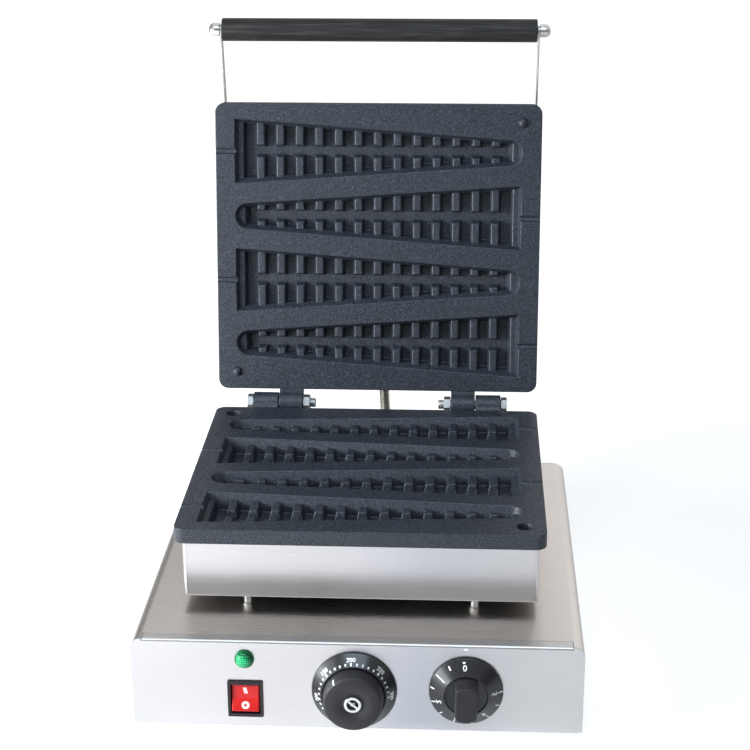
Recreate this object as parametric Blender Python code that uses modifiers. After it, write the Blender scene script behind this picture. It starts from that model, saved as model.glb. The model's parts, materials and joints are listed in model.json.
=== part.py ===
# Countertop iron for waffles on a stick: a base with its controls, a fixed lower half on four posts and
# a hinged upper half with its grip. The upper half stands open.
import math

import bmesh
import bpy
from mathutils import Matrix, Vector

# Lengths are in metres, angles in degrees. X runs to the right, Y to the back, Z up from the table.

# Fits
SEAT = 0.0003               # gap left between two pieces that touch
RUNNING = 0.0004            # gap round a shaft, shank or rod
OVERRUN = 0.002             # how far a cutter reaches past what it cuts
MERGE = 0.00001

# Base housing
BASE_WIDTH = 0.340
BASE_DEPTH = 0.345
BASE_HEIGHT = 0.0725
FOOT_GAP = 0.008            # underside of the base above the table
SHEET = 0.001
PANEL_SHEET = 0.0012
BOTTOM_SHEET = 0.0012
SIDE_BEND = 0.010           # outer radius of the long side edges
PANEL_TOP_BEND = 0.0025
PANEL_CORNER = 0.0045       # bottom corners of the end panels
PANEL_RELIEF = 0.0008       # slit between the front panel's fold and its corner
TOP_FOLD_DEPTH = 0.010
TOP_FOLD_INSET = 0.0112     # the top fold ends this far inside the base's sides
SHELL_FLANGE = 0.030
REAR_TAB = 0.014
BEND_STEPS = 4

# Bottom plate
VENT_LENGTH = 0.050
VENT_WIDTH = 0.005
VENT_PITCH = 0.014
VENT_COUNT = 5
VENT_SIDE = 0.060

# Feet
FOOT_RADIUS = 0.011
FOOT_TOP_RADIUS = 0.013
FOOT_SIDE_INSET = 0.018
FOOT_END_INSET = 0.045

# Screws: head radius, head height and shank radius
SMALL_HEAD = (0.0034, 0.0018)
SMALL_SHANK = 0.0017
SCREW_BITE = 0.008
SCREW_SIDES = 8

# Cast plates
PLATE_WIDTH = 0.2834
PLATE_DEPTH = 0.2532
PLATE_EDGE = 0.0124         # thickness at the rim
PLATE_CORE = 0.0175         # thickness behind the moulds
PLATE_CORNER = 0.0085
CORE_SIDE_INSET = 0.0165
CORE_END_INSET = 0.0135
CORE_OVERLAP = 0.003

# Moulds, four to a plate, head to tail
MOULD_LENGTH = 0.250
MOULD_PITCH = 0.0566
MOULD_COUNT = 4
MOULD_WIDE = 0.0565         # width at the square end
MOULD_TIP_RADIUS = 0.0113
MOULD_DEPTH = 0.0135
WALL_BREAK_DEPTH = 0.0065   # the wall is steeper below this
WALL_DRAFT_SHARE = 0.52     # inward slope of the upper wall
FLOOR_DRAFT_SHARE = 0.23    # inward slope of the lower wall and of the blocks
TIP_STEPS = 7
BLOCK_COUNT = 13
BLOCK_PITCH = 0.0171
BLOCK_TOP = 0.0066
BLOCK_DEPTH = 0.0053        # block tops below the face
CHANNEL_HALF = 0.0053       # block top to the mould's centre line
LEDGE_WIDE = 0.0074
LEDGE_TIP = 0.0082
LEDGE_TIP_SLOPE_SHARE = 0.45
STICK_RADIUS = 0.0026
STICK_SIDES = 12

# Locating domes and holes
DOME_RADIUS = 0.0042
DOME_SINK = 0.0004
DOME_HOLE_MOUTH = 0.0062
DOME_HOLE_FLOOR = 0.0048
DOME_HOLE_DEPTH = 0.0054
DOME_INSET_X = 0.0167
DOME_INSET_Y = 0.0156

# Hinge
HINGE_BACK = 0.012          # axis behind the plates' back edges
OPEN_ANGLE = 98.66          # the upper half from closed to the pose in which it stands
LUG_SPLIT = 0.0875          # where the upper and lower lugs meet, from the middle
LUG_OUTER = 0.110
LUG_INNER = 0.0660
LUG_BOSS = 0.009
LUG_STEP = 0.0011
LUG_ROOT = 0.004
BOSS_STEPS = 9
BOLT_RADIUS = 0.004
BOLT_HEAD_RADIUS = 0.0075
BOLT_HEAD = 0.0053
BOLT_NUT = 0.006
BOLT_TAIL = 0.005

# Heater boxes
BOX_WIDTH = 0.273
BOX_HEIGHT = 0.0497
BOX_END_INSET = 0.0108      # behind the plate's front edge and in front of its back edge
BOX_CORNER = 0.003
BOX_SCREW_HEAD = (0.0058, 0.0030)
BOX_SCREW_SHOULDER = 0.0036
BOX_SCREW_SHANK = 0.0024
BOX_SCREW_DEPTH = 0.006

# Heater, its bar and the bosses
HEATER_RADIUS = 0.0035
HEATER_RUN_HALF = 0.085
HEATER_TURN_STEPS = 7
HEATER_TAIL = 0.014
BAR_WIDTH = 0.018
BAR_SHEET = 0.003
BAR_OVERHANG = 0.010
BAR_BOSS = 0.006

# Posts and wire sleeve between base and lower box
POST_GAP = 0.008
POST_RADIUS = 0.0035
POST_X = 0.088
POST_INSET = 0.008
POST_SIDES = 10
POST_SHANK = 0.0020
POST_HEAD = (0.0032, 0.0012)
BUSHING_RADIUS = 0.011
BUSHING_BORE = 0.008
BUSHING_SIDES = 12
WIRE_X = -0.045

# Conduit between the two boxes
CONDUIT_RADIUS = 0.00475
CONDUIT_VALLEY_SHARE = 0.80
CONDUIT_BORE = 0.0031
CONDUIT_LOW_X = 0.012
CONDUIT_HIGH_X = 0.005
CONDUIT_LOW_DROP = 0.030    # below the hinge axis
CONDUIT_HIGH_RISE = 0.035   # above the hinge axis when closed
CONDUIT_REACH = 0.044
CONDUIT_RIBS = 30
CONDUIT_SAMPLES = 120
COLLAR_RADIUS = 0.0085
COLLAR_LENGTH = 0.007
COLLAR_SIDES = 6

# Handle
ARM_WIDTH = 0.009
ARM_SHEET = 0.0016
ARM_TAIL = 0.165            # tail of the arm from the plate's hinge edge
ARM_KNEE = 0.245
ARM_RISE = 0.0415           # arm behind the plate's face
ARM_SCREW_REAR = 0.015      # rear screw from the arm's tail
ARM_SCREW_FRONT = 0.017     # front screw from the arm's knee
ARM_END_STEPS = 5
GRIP_REACH = 0.062          # grip axis past the plate's front edge
GRIP_RISE = 0.015
GRIP_RADIUS = 0.010
GRIP_SIDES = 20
ROD_RADIUS = 0.003
ROD_SIDES = 12
DOME_NUT_RADIUS = 0.0058
DOME_NUT_LENGTH = 0.005
DOME_NUT_CAP = 0.004
ROD_END = 0.004

# Switch
SWITCH_X = -0.0838
SWITCH_Z = 0.0236           # above the base's underside
SWITCH_BEZEL = (0.0270, 0.0303, 0.0020)
SWITCH_BODY = (0.0236, 0.0272, 0.0220)
SWITCH_MOUTH = (0.0222, 0.0244, 0.0130)
SWITCH_BLADE = (0.0048, 0.0008, 0.008)
SWITCH_BLADES = 3
SWITCH_BLADE_PITCH = 0.008
ROCKER_WIDTH = 0.0216
ROCKER_HALF = 0.0110
ROCKER_TILT = 10            # each way from level
ROCKER_PIVOT = 0.0047       # behind the panel's face
ROCKER_FACE = 0.0002        # pressed half in front of the panel's face
ROCKER_TAPER = 0.0016
ROCKER_BACK = 0.002
ROCKER_ROOT = 0.004
ROCKER_ROOT_HALF = 0.006

# Pilot lamp
LAMP_X = -0.0838
LAMP_Z = 0.0575
LENS_RADIUS = 0.00735
LENS_RIM = 0.0016
LENS_DOME = 0.0050
LENS_STEP = 0.0009          # flat ledge round the dome
LENS_STEM = 0.0040
LENS_STEM_LENGTH = 0.006
LENS_SIDES = 14
LAMP_HOLDER_RADIUS = 0.0065
LAMP_HOLDER_LENGTH = 0.020
LAMP_FLOOR = 0.003

# Thermostat
THERMOSTAT_X = -0.0015
THERMOSTAT_Z = 0.0331
SCALE_RADIUS = 0.0321
SCALE_RIM = 0.0016
SCALE_TOP_RADIUS = 0.0245
SCALE_TOP = 0.0098
SCALE_LIP = 0.0009
SCALE_FLOOR = 0.0022
DIAL_ROOT_RADIUS = 0.0230
DIAL_RADIUS = 0.0222
DIAL_FACE = 0.0230
DIAL_EDGE = 0.0022
DIAL_DISH_RADIUS = 0.0135
DIAL_DISH = 0.0012
DIAL_CUP_RADIUS = 0.0088
DIAL_CUP = 0.0012
DIAL_SIDES = 28
DIAL_SCREW_RADIUS = 0.0064
DIAL_SCREW_HEAD = 0.0016
DIAL_SCREW_SLOT = 0.0012
DIAL_SCREW_TURN = 40
SHAFT_RADIUS = 0.003
SHAFT_SIDES = 12
SHAFT_INSIDE = 0.016
DIAL_WEB = 0.004
THERMOSTAT_BOX = (0.038, 0.046, 0.020)
THERMOSTAT_NECK = 0.009
NECK_LENGTH = 0.004
BODY_BEVEL = 0.0015

# Timer
TIMER_X = 0.0823
TIMER_Z = 0.0350
DISC_RADIUS = 0.0278
DISC_RIM = 0.0024
DISC_TOP_RADIUS = 0.0168
DISC_TOP = 0.0096
HUB_SINK = 0.0010
HUB_LIP = 0.0008
BAR_GRIP_HALF_LENGTH = 0.0155
BAR_GRIP_HALF_WIDTH = 0.0086
BAR_GRIP_TOP = 0.0240
BAR_GRIP_TAPER = 0.0012
BAR_GRIP_ROUND_STEPS = 6
TIMER_BOX = (0.046, 0.050, 0.026)

# Capillary from the thermostat to the lower plate
CAPILLARY_RADIUS = 0.0011
BULB_RADIUS = 0.0025
BULB_HALF = 0.030
CAPILLARY_BEND = 0.006
CAPILLARY_STEPS = 4

# Mains entry
GLAND_INSET = 0.065         # from the base's right side
GLAND_Z = 0.030
GLAND_BORE = 0.0040
GLAND_THREAD = 0.0076
GLAND_HEX = 0.0110
GLAND_CAP = 0.0092
GLAND_MOUTH = 0.0062
GLAND_HEX_LENGTH = 0.006
GLAND_CAP_LENGTH = 0.007
GLAND_CAP_ROUND = 0.005
GLAND_INSIDE = 0.009
GLAND_SIDES = 14
TERMINAL_SIZE = (0.052, 0.022, 0.016)
TERMINAL_POLES = 4
TERMINAL_RIB = 0.0016
TERMINAL_STEP = 0.005
TERMINAL_BACK = 0.050       # in front of the rear panel

# Places worked out from the sizes above
BASE_TOP = FOOT_GAP + BASE_HEIGHT
TOP_FOLD_HALF = BASE_WIDTH / 2 - TOP_FOLD_INSET
GLAND_X = BASE_WIDTH / 2 - GLAND_INSET
HALF_SEAT = SEAT / 2
PLATE_FRONT = 0.0438        # plates' front edge behind the front panel's face
HINGE_Y = PLATE_FRONT + PLATE_DEPTH + HINGE_BACK
HINGE_Z = BASE_TOP + POST_GAP + BOX_HEIGHT + PLATE_EDGE + HALF_SEAT
BOX_BACK = HINGE_BACK + BOX_END_INSET
BOX_DEPTH = PLATE_DEPTH - 2 * BOX_END_INSET
COVER_REACH = BOX_BACK + BOX_DEPTH
ARM_SCREWS = (ARM_TAIL + ARM_SCREW_REAR, ARM_KNEE - ARM_SCREW_FRONT)
COVER_TOP = HALF_SEAT + PLATE_EDGE + BOX_HEIGHT
OPEN_TURN = math.radians(OPEN_ANGLE)
REAR_REACH = HINGE_Y - COVER_REACH * math.cos(OPEN_TURN) + COVER_TOP * math.sin(OPEN_TURN)
FRONT_REACH = max(DIAL_FACE, BAR_GRIP_TOP)
MIDDLE_Y = (REAR_REACH - FRONT_REACH) / 2

COLOURS = {
    "stainless": ((0.62, 0.60, 0.58), 0.32, 1.0),
    "plate_coating": ((0.055, 0.062, 0.078), 0.42, 0.3),
    "bright_steel": ((0.72, 0.72, 0.72), 0.22, 1.0),
    "zinc": ((0.45, 0.46, 0.47), 0.45, 0.9),
    "black_plastic": ((0.022, 0.022, 0.024), 0.38, 0.0),
    "red_plastic": ((0.72, 0.02, 0.02), 0.28, 0.0),
    "green_lens": ((0.02, 0.45, 0.12), 0.15, 0.0),
    "grip": ((0.035, 0.033, 0.032), 0.55, 0.0),
    "rubber": ((0.03, 0.03, 0.03), 0.8, 0.0),
    "heater_sheath": ((0.16, 0.15, 0.14), 0.5, 0.8),
    "copper": ((0.72, 0.38, 0.24), 0.35, 1.0),
    "pale_plastic": ((0.78, 0.77, 0.72), 0.5, 0.0),
}

# Shares and counts of the shapes
SMOOTH_ANGLE = 38
SCREW_CROWN_SHARE = 0.6
DOME_SHOULDER_SHARE = 0.72
DOME_CROWN_SHARE = 0.75
GRIP_EDGE_SHARE = 0.12
LENS_CURVE_SHARES = (0.45, 0.8)
SHAFT_DEPTH_SHARE = 0.6
BAR_GRIP_BOW_SHARE = 0.28


def clear_scene():
    for item in list(bpy.data.objects):
        bpy.data.objects.remove(item, do_unlink=True)


def make_collection(name):
    group = bpy.data.collections.new(name)
    bpy.context.scene.collection.children.link(group)
    return group


def make_material(name):
    colour, roughness, metallic = COLOURS[name]
    material = bpy.data.materials.new(name)
    material.use_nodes = True
    shader = material.node_tree.nodes["Principled BSDF"]
    shader.inputs["Base Color"].default_value = (*colour, 1)
    shader.inputs["Roughness"].default_value = roughness
    shader.inputs["Metallic"].default_value = metallic
    material.diffuse_color = (*colour, 1)
    return material


def make_empty(name, place, turn=(0, 0, 0), parent=None):
    empty = bpy.data.objects.new(name, None)
    empty.location = place
    empty.rotation_euler = turn
    empty.parent = parent
    parts.objects.link(empty)
    return empty


def close_mesh(bm):
    bmesh.ops.remove_doubles(bm, verts=bm.verts, dist=MERGE)
    bmesh.ops.recalc_face_normals(bm, faces=bm.faces)


def turn_out(bm):
    # An open skin, such as a tray, gets its faces on the outside
    bmesh.ops.recalc_face_normals(bm, faces=bm.faces)
    middle = sum((vert.co for vert in bm.verts), Vector()) / len(bm.verts)
    outward = sum(f.normal.dot(f.calc_center_median() - middle) * f.calc_area() for f in bm.faces)
    if outward < 0:
        bmesh.ops.reverse_faces(bm, faces=bm.faces)


def link_mesh(name, bm, group, parent):
    mesh = bpy.data.meshes.new(name)
    bm.to_mesh(mesh)
    bm.free()
    piece = bpy.data.objects.new(name, mesh)
    piece.parent = parent
    group.objects.link(piece)
    return piece


def add_piece(name, bm, material, parent, closed=True):
    if closed:
        close_mesh(bm)
    else:
        turn_out(bm)
    piece = link_mesh(name, bm, parts, parent)
    piece.data.shade_smooth()
    piece.data.set_sharp_from_angle(angle=math.radians(SMOOTH_ANGLE))
    piece.data.materials.append(materials[material])
    return piece


def combine(piece, bm, operation):
    # The second body of a Boolean stays in the cutters' collection
    close_mesh(bm)
    tool = link_mesh(f"{piece.name}_{operation.lower()}_{len(piece.modifiers)}", bm, cutters, piece.parent)
    tool.hide_render = True
    tool.display_type = "WIRE"
    modifier = piece.modifiers.new(operation.lower(), "BOOLEAN")
    modifier.operation = operation
    modifier.solver = "EXACT"
    modifier.object = tool
    return tool


def add_solidify(piece, thickness):
    modifier = piece.modifiers.new("wall", "SOLIDIFY")
    modifier.thickness = thickness
    modifier.offset = -1
    modifier.use_even_offset = True


def add_box(bm, low, high):
    size = [top - bottom for bottom, top in zip(low, high)]
    middle = [(top + bottom) / 2 for bottom, top in zip(low, high)]
    matrix = Matrix.Translation(middle) @ Matrix.Diagonal((*size, 1))
    return bmesh.ops.create_cube(bm, size=1, matrix=matrix)["verts"]


def along(start, axis):
    # Matrix that takes +Z at the origin to an axis at a start point
    turn = Vector((0, 0, 1)).rotation_difference(Vector(axis)).to_matrix().to_4x4()
    return Matrix.Translation(start) @ turn


def add_cylinder(bm, start, axis, radius, length, sides, end_radius=None):
    matrix = along(start, axis) @ Matrix.Translation((0, 0, length / 2))
    far = radius if end_radius is None else end_radius
    made = bmesh.ops.create_cone(
        bm, cap_ends=True, segments=sides, radius1=radius, radius2=far, depth=length, matrix=matrix)
    return made["verts"]


def add_turned(bm, profile, start, axis, sides, closed=False):
    # Spins an outline of (radius, height) points about an axis
    points = [bm.verts.new((radius, 0, height)) for radius, height in profile]
    chain = points + points[:1] if closed else points
    edges = [bm.edges.new(pair) for pair in zip(chain, chain[1:])]
    bmesh.ops.spin(
        bm, geom=points + edges, cent=(0, 0, 0), axis=(0, 0, 1), angle=math.tau, steps=sides, use_merge=True)
    bmesh.ops.transform(bm, matrix=along(start, axis), verts=gather(points))


def gather(seeds):
    # Every vertex joined to the seeds by edges
    found = {vert for vert in seeds if vert.is_valid}
    queue = list(found)
    while queue:
        for edge in queue.pop().link_edges:
            for vert in edge.verts:
                if vert not in found:
                    found.add(vert)
                    queue.append(vert)
    return list(found)


def add_tube(bm, start, axis, radius, bore, length, sides):
    profile = [(bore, length), (radius, length), (radius, 0), (bore, 0)]
    add_turned(bm, profile, start, axis, sides, closed=True)


def add_screw(bm, seat, axis, head, shank, length):
    # The head stands on the seat and the shank runs back through it
    head_radius, head_height = head
    profile = [
        (0, head_height), (head_radius * SCREW_CROWN_SHARE, head_height),
        (head_radius, head_height * SCREW_CROWN_SHARE), (head_radius, 0),
        (shank, 0), (shank, -length), (0, -length)]
    add_turned(bm, profile, seat, axis, SCREW_SIDES)


def add_plate(bm, outline, axis, low, high):
    # Extrudes a flat outline of two coordinates along X, Y or Z from low to high
    places = {
        "X": lambda a, b, c: (c, a, b),
        "Y": lambda a, b, c: (a, c, b),
        "Z": lambda a, b, c: (a, b, c)}
    put = places[axis]
    face = bm.faces.new([bm.verts.new(put(a, b, low)) for a, b in outline])
    made = bmesh.ops.extrude_face_region(bm, geom=[face])
    moved = [item for item in made["geom"] if isinstance(item, bmesh.types.BMVert)]
    bmesh.ops.translate(bm, verts=moved, vec=put(0, 0, high - low))


def arc(middle, radius, start, end, steps):
    # Points of an arc, angles in degrees
    angles = [math.radians(start + (end - start) * step / steps) for step in range(steps + 1)]
    return [(middle[0] + radius * math.cos(a), middle[1] + radius * math.sin(a)) for a in angles]


def mirror_half(bm, side):
    # The halves are built as the upper one, above the parting plane, and side -1 turns them over
    bmesh.ops.transform(bm, matrix=Matrix.Diagonal((1, 1, side, 1)), verts=bm.verts)


def make_tube_curve(name, points, radii, resolution, material, parent):
    curve = bpy.data.curves.new(name, "CURVE")
    curve.dimensions = "3D"
    curve.bevel_depth = 1
    curve.bevel_resolution = resolution
    curve.use_fill_caps = True
    spline = curve.splines.new("POLY")
    spline.points.add(len(points) - 1)
    for item, point, radius in zip(spline.points, points, radii):
        item.co = (*point, 1)
        item.radius = radius
    path = bpy.data.objects.new(name + "_path", curve)
    path.parent = parent
    cutters.objects.link(path)
    bpy.context.view_layer.update()
    depsgraph = bpy.context.evaluated_depsgraph_get()
    mesh = bpy.data.meshes.new_from_object(path.evaluated_get(depsgraph))
    bm = bmesh.new()
    bm.from_mesh(mesh)
    bpy.data.meshes.remove(mesh)
    bpy.data.objects.remove(path, do_unlink=True)
    if material is None:
        return bm
    return add_piece(name, bm, material, parent)


def rounded_panel_outline():
    # Outline of an end panel in X and Z, round at the top corners and slightly at the bottom ones
    half = BASE_WIDTH / 2
    low = FOOT_GAP
    right = arc((half - PANEL_CORNER, low + PANEL_CORNER), PANEL_CORNER, -90, 0, BEND_STEPS)
    right += arc((half - SIDE_BEND, BASE_TOP - SIDE_BEND), SIDE_BEND, 0, 90, BEND_STEPS)
    return right, [(-x, z) for x, z in reversed(right)]


def make_base_shell():
    half = BASE_WIDTH / 2
    low = FOOT_GAP + BOTTOM_SHEET + SEAT
    right = [(half - SHELL_FLANGE, low), (half, low)]
    right += arc((half - SIDE_BEND, BASE_TOP - SIDE_BEND), SIDE_BEND, 0, 90, BEND_STEPS)
    profile = right + [(-x, z) for x, z in reversed(right)]
    front = PANEL_SHEET + SEAT
    back = BASE_DEPTH - PANEL_SHEET - SEAT
    bm = bmesh.new()
    chain = [bm.verts.new((x, front, z)) for x, z in profile]
    edges = [bm.edges.new(pair) for pair in zip(chain, chain[1:])]
    made = bmesh.ops.extrude_edge_only(bm, edges=edges)
    moved = [item for item in made["geom"] if isinstance(item, bmesh.types.BMVert)]
    bmesh.ops.translate(bm, verts=moved, vec=(0, back - front, 0))
    shell = add_piece("base_shell", bm, "stainless", base, closed=False)
    add_solidify(shell, SHEET)
    tabs = bmesh.new()
    for side, (x, z) in rear_screw_places():
        edge = side * (half - SHEET / 2)
        inner = x - side * REAR_TAB / 2
        add_box(tabs, (min(edge, inner), back - 2 * SHEET, z - REAR_TAB / 2),
                (max(edge, inner), back - SHEET, z + REAR_TAB / 2))
    combine(shell, tabs, "UNION")
    holes = bmesh.new()
    notch = TOP_FOLD_HALF + PANEL_RELIEF
    add_box(holes, (-notch, -OVERRUN, BASE_TOP - SHEET - OVERRUN),
            (notch, TOP_FOLD_DEPTH + SEAT, BASE_TOP + OVERRUN))
    for x, y in corners(POST_X, *post_rows()).values():
        drill(holes, (x, y, BASE_TOP - SHEET), "Z", POST_SHANK + RUNNING, SHEET)
    drill(holes, (WIRE_X, wire_y(), BASE_TOP - SHEET), "Z", BUSHING_BORE, SHEET, BUSHING_SIDES)
    for x, y in corners(foot_x(), *foot_rows()).values():
        drill(holes, (x, y, low), "Z", SMALL_SHANK + RUNNING, SHEET)
    for _, (x, z) in rear_screw_places():
        drill(holes, (x, back - 2 * SHEET, z), "Y", SMALL_SHANK + RUNNING, SHEET)
    combine(shell, holes, "DIFFERENCE")


def drill(bm, start, axis, radius, depth, sides=SCREW_SIDES):
    # A cutter along an axis that runs past both faces of a sheet that starts at start
    direction = Vector({"X": (1, 0, 0), "Y": (0, 1, 0), "Z": (0, 0, 1)}[axis])
    begin = Vector(start) - direction * OVERRUN
    outer = radius / math.cos(math.pi / sides)
    add_cylinder(bm, begin, direction, outer, depth + 2 * OVERRUN, sides)


def rear_screw_places():
    x = BASE_WIDTH / 2 - SHEET - REAR_TAB / 2
    z = FOOT_GAP + BASE_HEIGHT / 2
    return [(side, (side * x, z)) for side in (-1, 1)]


def corners(x, front, rear):
    # Four places in plan with their names
    return {"front_left": (-x, front), "front_right": (x, front), "rear_left": (-x, rear),
            "rear_right": (x, rear)}


def foot_x():
    return BASE_WIDTH / 2 - FOOT_SIDE_INSET


def foot_rows():
    return FOOT_END_INSET, BASE_DEPTH - FOOT_END_INSET


def post_rows():
    return PLATE_FRONT + BOX_END_INSET + POST_INSET, HINGE_Y - BOX_BACK - POST_INSET


def run_rows():
    # Mould centre lines behind the hinge axis's local origin, front one first
    middle = -HINGE_BACK - PLATE_DEPTH / 2
    return [middle + MOULD_PITCH * (row - (MOULD_COUNT - 1) / 2) for row in range(MOULD_COUNT)]


def between_rows(first):
    rows = run_rows()
    return (rows[first] + rows[first + 1]) / 2


def wire_y():
    return HINGE_Y + between_rows(1)


def make_front_panel():
    right, left = rounded_panel_outline()
    fold_z = BASE_TOP - PANEL_TOP_BEND
    slit = TOP_FOLD_HALF + PANEL_RELIEF
    outline = right + [(slit, BASE_TOP), (slit, fold_z), (TOP_FOLD_HALF, fold_z)]
    outline += [(-x, z) for x, z in reversed(outline[len(right):])] + left
    bm = bmesh.new()
    skin = bm.faces.new([bm.verts.new((x, 0, z)) for x, z in outline])
    ends = [vert for vert in skin.verts if abs(abs(vert.co.x) - TOP_FOLD_HALF) < MERGE]
    edge = bm.edges.get(ends)
    bend = arc((PANEL_TOP_BEND, fold_z), PANEL_TOP_BEND, 180, 90, BEND_STEPS)
    for (y0, z0), (y1, z1) in zip(bend, bend[1:] + [(TOP_FOLD_DEPTH, BASE_TOP)]):
        made = bmesh.ops.extrude_edge_only(bm, edges=[edge])["geom"]
        moved = [item for item in made if isinstance(item, bmesh.types.BMVert)]
        bmesh.ops.translate(bm, verts=moved, vec=(0, y1 - y0, z1 - z0))
        edge = bm.edges.get(moved)
    panel = add_piece("front_panel", bm, "stainless", base, closed=False)
    add_solidify(panel, PANEL_SHEET)
    holes = bmesh.new()
    width, height, _ = SWITCH_BODY
    z = FOOT_GAP + SWITCH_Z
    add_box(holes, (SWITCH_X - width / 2 - SEAT, -OVERRUN, z - height / 2 - SEAT),
            (SWITCH_X + width / 2 + SEAT, PANEL_SHEET + OVERRUN, z + height / 2 + SEAT))
    drill(holes, (LAMP_X, 0, FOOT_GAP + LAMP_Z), "Y", LENS_STEM + RUNNING, PANEL_SHEET, LENS_SIDES)
    for x, z in ((THERMOSTAT_X, THERMOSTAT_Z), (TIMER_X, TIMER_Z)):
        drill(holes, (x, 0, FOOT_GAP + z), "Y", SHAFT_RADIUS + RUNNING, PANEL_SHEET, SHAFT_SIDES)
    combine(panel, holes, "DIFFERENCE")


def make_rear_panel():
    right, left = rounded_panel_outline()
    bm = bmesh.new()
    add_plate(bm, right + left, "Y", BASE_DEPTH - PANEL_SHEET, BASE_DEPTH)
    panel = add_piece("rear_panel", bm, "stainless", base)
    holes = bmesh.new()
    front = BASE_DEPTH - PANEL_SHEET
    drill(holes, (GLAND_X, front, FOOT_GAP + GLAND_Z), "Y", GLAND_THREAD + RUNNING, PANEL_SHEET, GLAND_SIDES)
    for _, (x, z) in rear_screw_places():
        drill(holes, (x, front, z), "Y", SMALL_SHANK + RUNNING, PANEL_SHEET)
    combine(panel, holes, "DIFFERENCE")


def make_bottom_plate():
    bm = bmesh.new()
    half = BASE_WIDTH / 2
    front = PANEL_SHEET + SEAT
    back = BASE_DEPTH - PANEL_SHEET - SEAT
    add_box(bm, (-half, front, FOOT_GAP), (half, back, FOOT_GAP + BOTTOM_SHEET))
    plate = add_piece("bottom_plate", bm, "zinc", base)
    holes = bmesh.new()
    for side in (-1, 1):
        for row in range(VENT_COUNT):
            y = BASE_DEPTH / 2 + VENT_PITCH * (row - (VENT_COUNT - 1) / 2)
            x = side * VENT_SIDE
            add_box(holes, (x - VENT_LENGTH / 2, y - VENT_WIDTH / 2, FOOT_GAP - OVERRUN),
                    (x + VENT_LENGTH / 2, y + VENT_WIDTH / 2, FOOT_GAP + BOTTOM_SHEET + OVERRUN))
    for x, y in corners(foot_x(), *foot_rows()).values():
        drill(holes, (x, y, FOOT_GAP), "Z", SMALL_SHANK + RUNNING, BOTTOM_SHEET)
    combine(plate, holes, "DIFFERENCE")


def make_feet():
    # Rubber feet with a steel stud moulded in, which holds the bottom plate to the shell's flanges
    top = FOOT_GAP - SEAT
    for name, (x, y) in corners(foot_x(), *foot_rows()).items():
        bm = bmesh.new()
        profile = [(0, top + SCREW_BITE), (SMALL_SHANK, top + SCREW_BITE), (SMALL_SHANK, top),
                   (FOOT_TOP_RADIUS, top), (FOOT_RADIUS, 0), (0, 0)]
        add_turned(bm, profile, (x, y, 0), (0, 0, 1), POST_SIDES)
        add_piece("foot_" + name, bm, "rubber", base)


def make_rear_screws():
    for side, (x, z) in rear_screw_places():
        bm = bmesh.new()
        add_screw(bm, (x, BASE_DEPTH + SEAT, z), (0, 1, 0), SMALL_HEAD, SMALL_SHANK, SCREW_BITE)
        add_piece("rear_screw_" + side_name(side), bm, "bright_steel", base)


def side_name(side):
    return "left" if side < 0 else "right"


def make_posts():
    # Spacers with a shank at each end, riveted over inside the box and under the base's top
    head, rise = POST_HEAD
    box_floor = BASE_TOP + POST_GAP
    top = box_floor + SHEET + SEAT
    under = BASE_TOP - SHEET - SEAT
    profile = [
        (0, top + rise), (head, top + rise), (head, top), (POST_SHANK, top), (POST_SHANK, box_floor - SEAT),
        (POST_RADIUS, box_floor - SEAT), (POST_RADIUS, BASE_TOP + SEAT), (POST_SHANK, BASE_TOP + SEAT),
        (POST_SHANK, under), (head, under), (head, under - rise), (0, under - rise)]
    for name, (x, y) in corners(POST_X, *post_rows()).items():
        bm = bmesh.new()
        add_turned(bm, profile, (x, y, 0), (0, 0, 1), POST_SIDES)
        add_piece("post_" + name, bm, "bright_steel", base)
    sleeve = bmesh.new()
    add_tube(sleeve, (WIRE_X, wire_y(), BASE_TOP + SEAT), (0, 0, 1), BUSHING_RADIUS, BUSHING_BORE,
             POST_GAP - 2 * SEAT, BUSHING_SIDES)
    add_piece("wire_bushing", sleeve, "pale_plastic", base)


def mould_half_width(u):
    # Half the mould's width at a distance u from its square end, at the face
    share = u / (MOULD_LENGTH - MOULD_TIP_RADIUS)
    return MOULD_WIDE / 2 + (MOULD_TIP_RADIUS - MOULD_WIDE / 2) * share


def mould_outline(inset):
    # Square end at u = 0, round tip at u = MOULD_LENGTH, drawn in by inset
    tip = MOULD_LENGTH - MOULD_TIP_RADIUS
    taper = math.degrees(math.atan2(MOULD_WIDE / 2 - MOULD_TIP_RADIUS, tip))
    half = MOULD_WIDE / 2 - inset
    return [(inset, -half)] + arc((tip, 0), MOULD_TIP_RADIUS - inset, taper - 90, 90 - taper, TIP_STEPS) \
        + [(inset, half)]


def mould_point(row, heading, u, v, depth):
    return (heading * (u - MOULD_LENGTH / 2), run_rows()[row] + v, HALF_SEAT + depth)


def add_mould_void(bm, row, heading):
    # A loft through the outline at the face, at the break of the wall and at the floor
    break_inset = WALL_BREAK_DEPTH * WALL_DRAFT_SHARE
    floor_inset = break_inset + (MOULD_DEPTH - WALL_BREAK_DEPTH) * FLOOR_DRAFT_SHARE
    levels = ((-OVERRUN, -OVERRUN * WALL_DRAFT_SHARE), (WALL_BREAK_DEPTH, break_inset),
              (MOULD_DEPTH, floor_inset))
    rings = []
    for depth, inset in levels:
        ring = [bm.verts.new(mould_point(row, heading, u, v, depth)) for u, v in mould_outline(inset)]
        rings.append(ring)
        for pair in zip(ring, ring[1:] + ring[:1]):
            bm.edges.new(pair)
    for low, high in zip(rings, rings[1:]):
        loops = [edge for ring in (low, high) for edge in
                 [bm.edges.get(pair) for pair in zip(ring, ring[1:] + ring[:1])]]
        bmesh.ops.bridge_loops(bm, edges=loops)
    bm.faces.new(rings[0])
    bm.faces.new(rings[-1])


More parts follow.
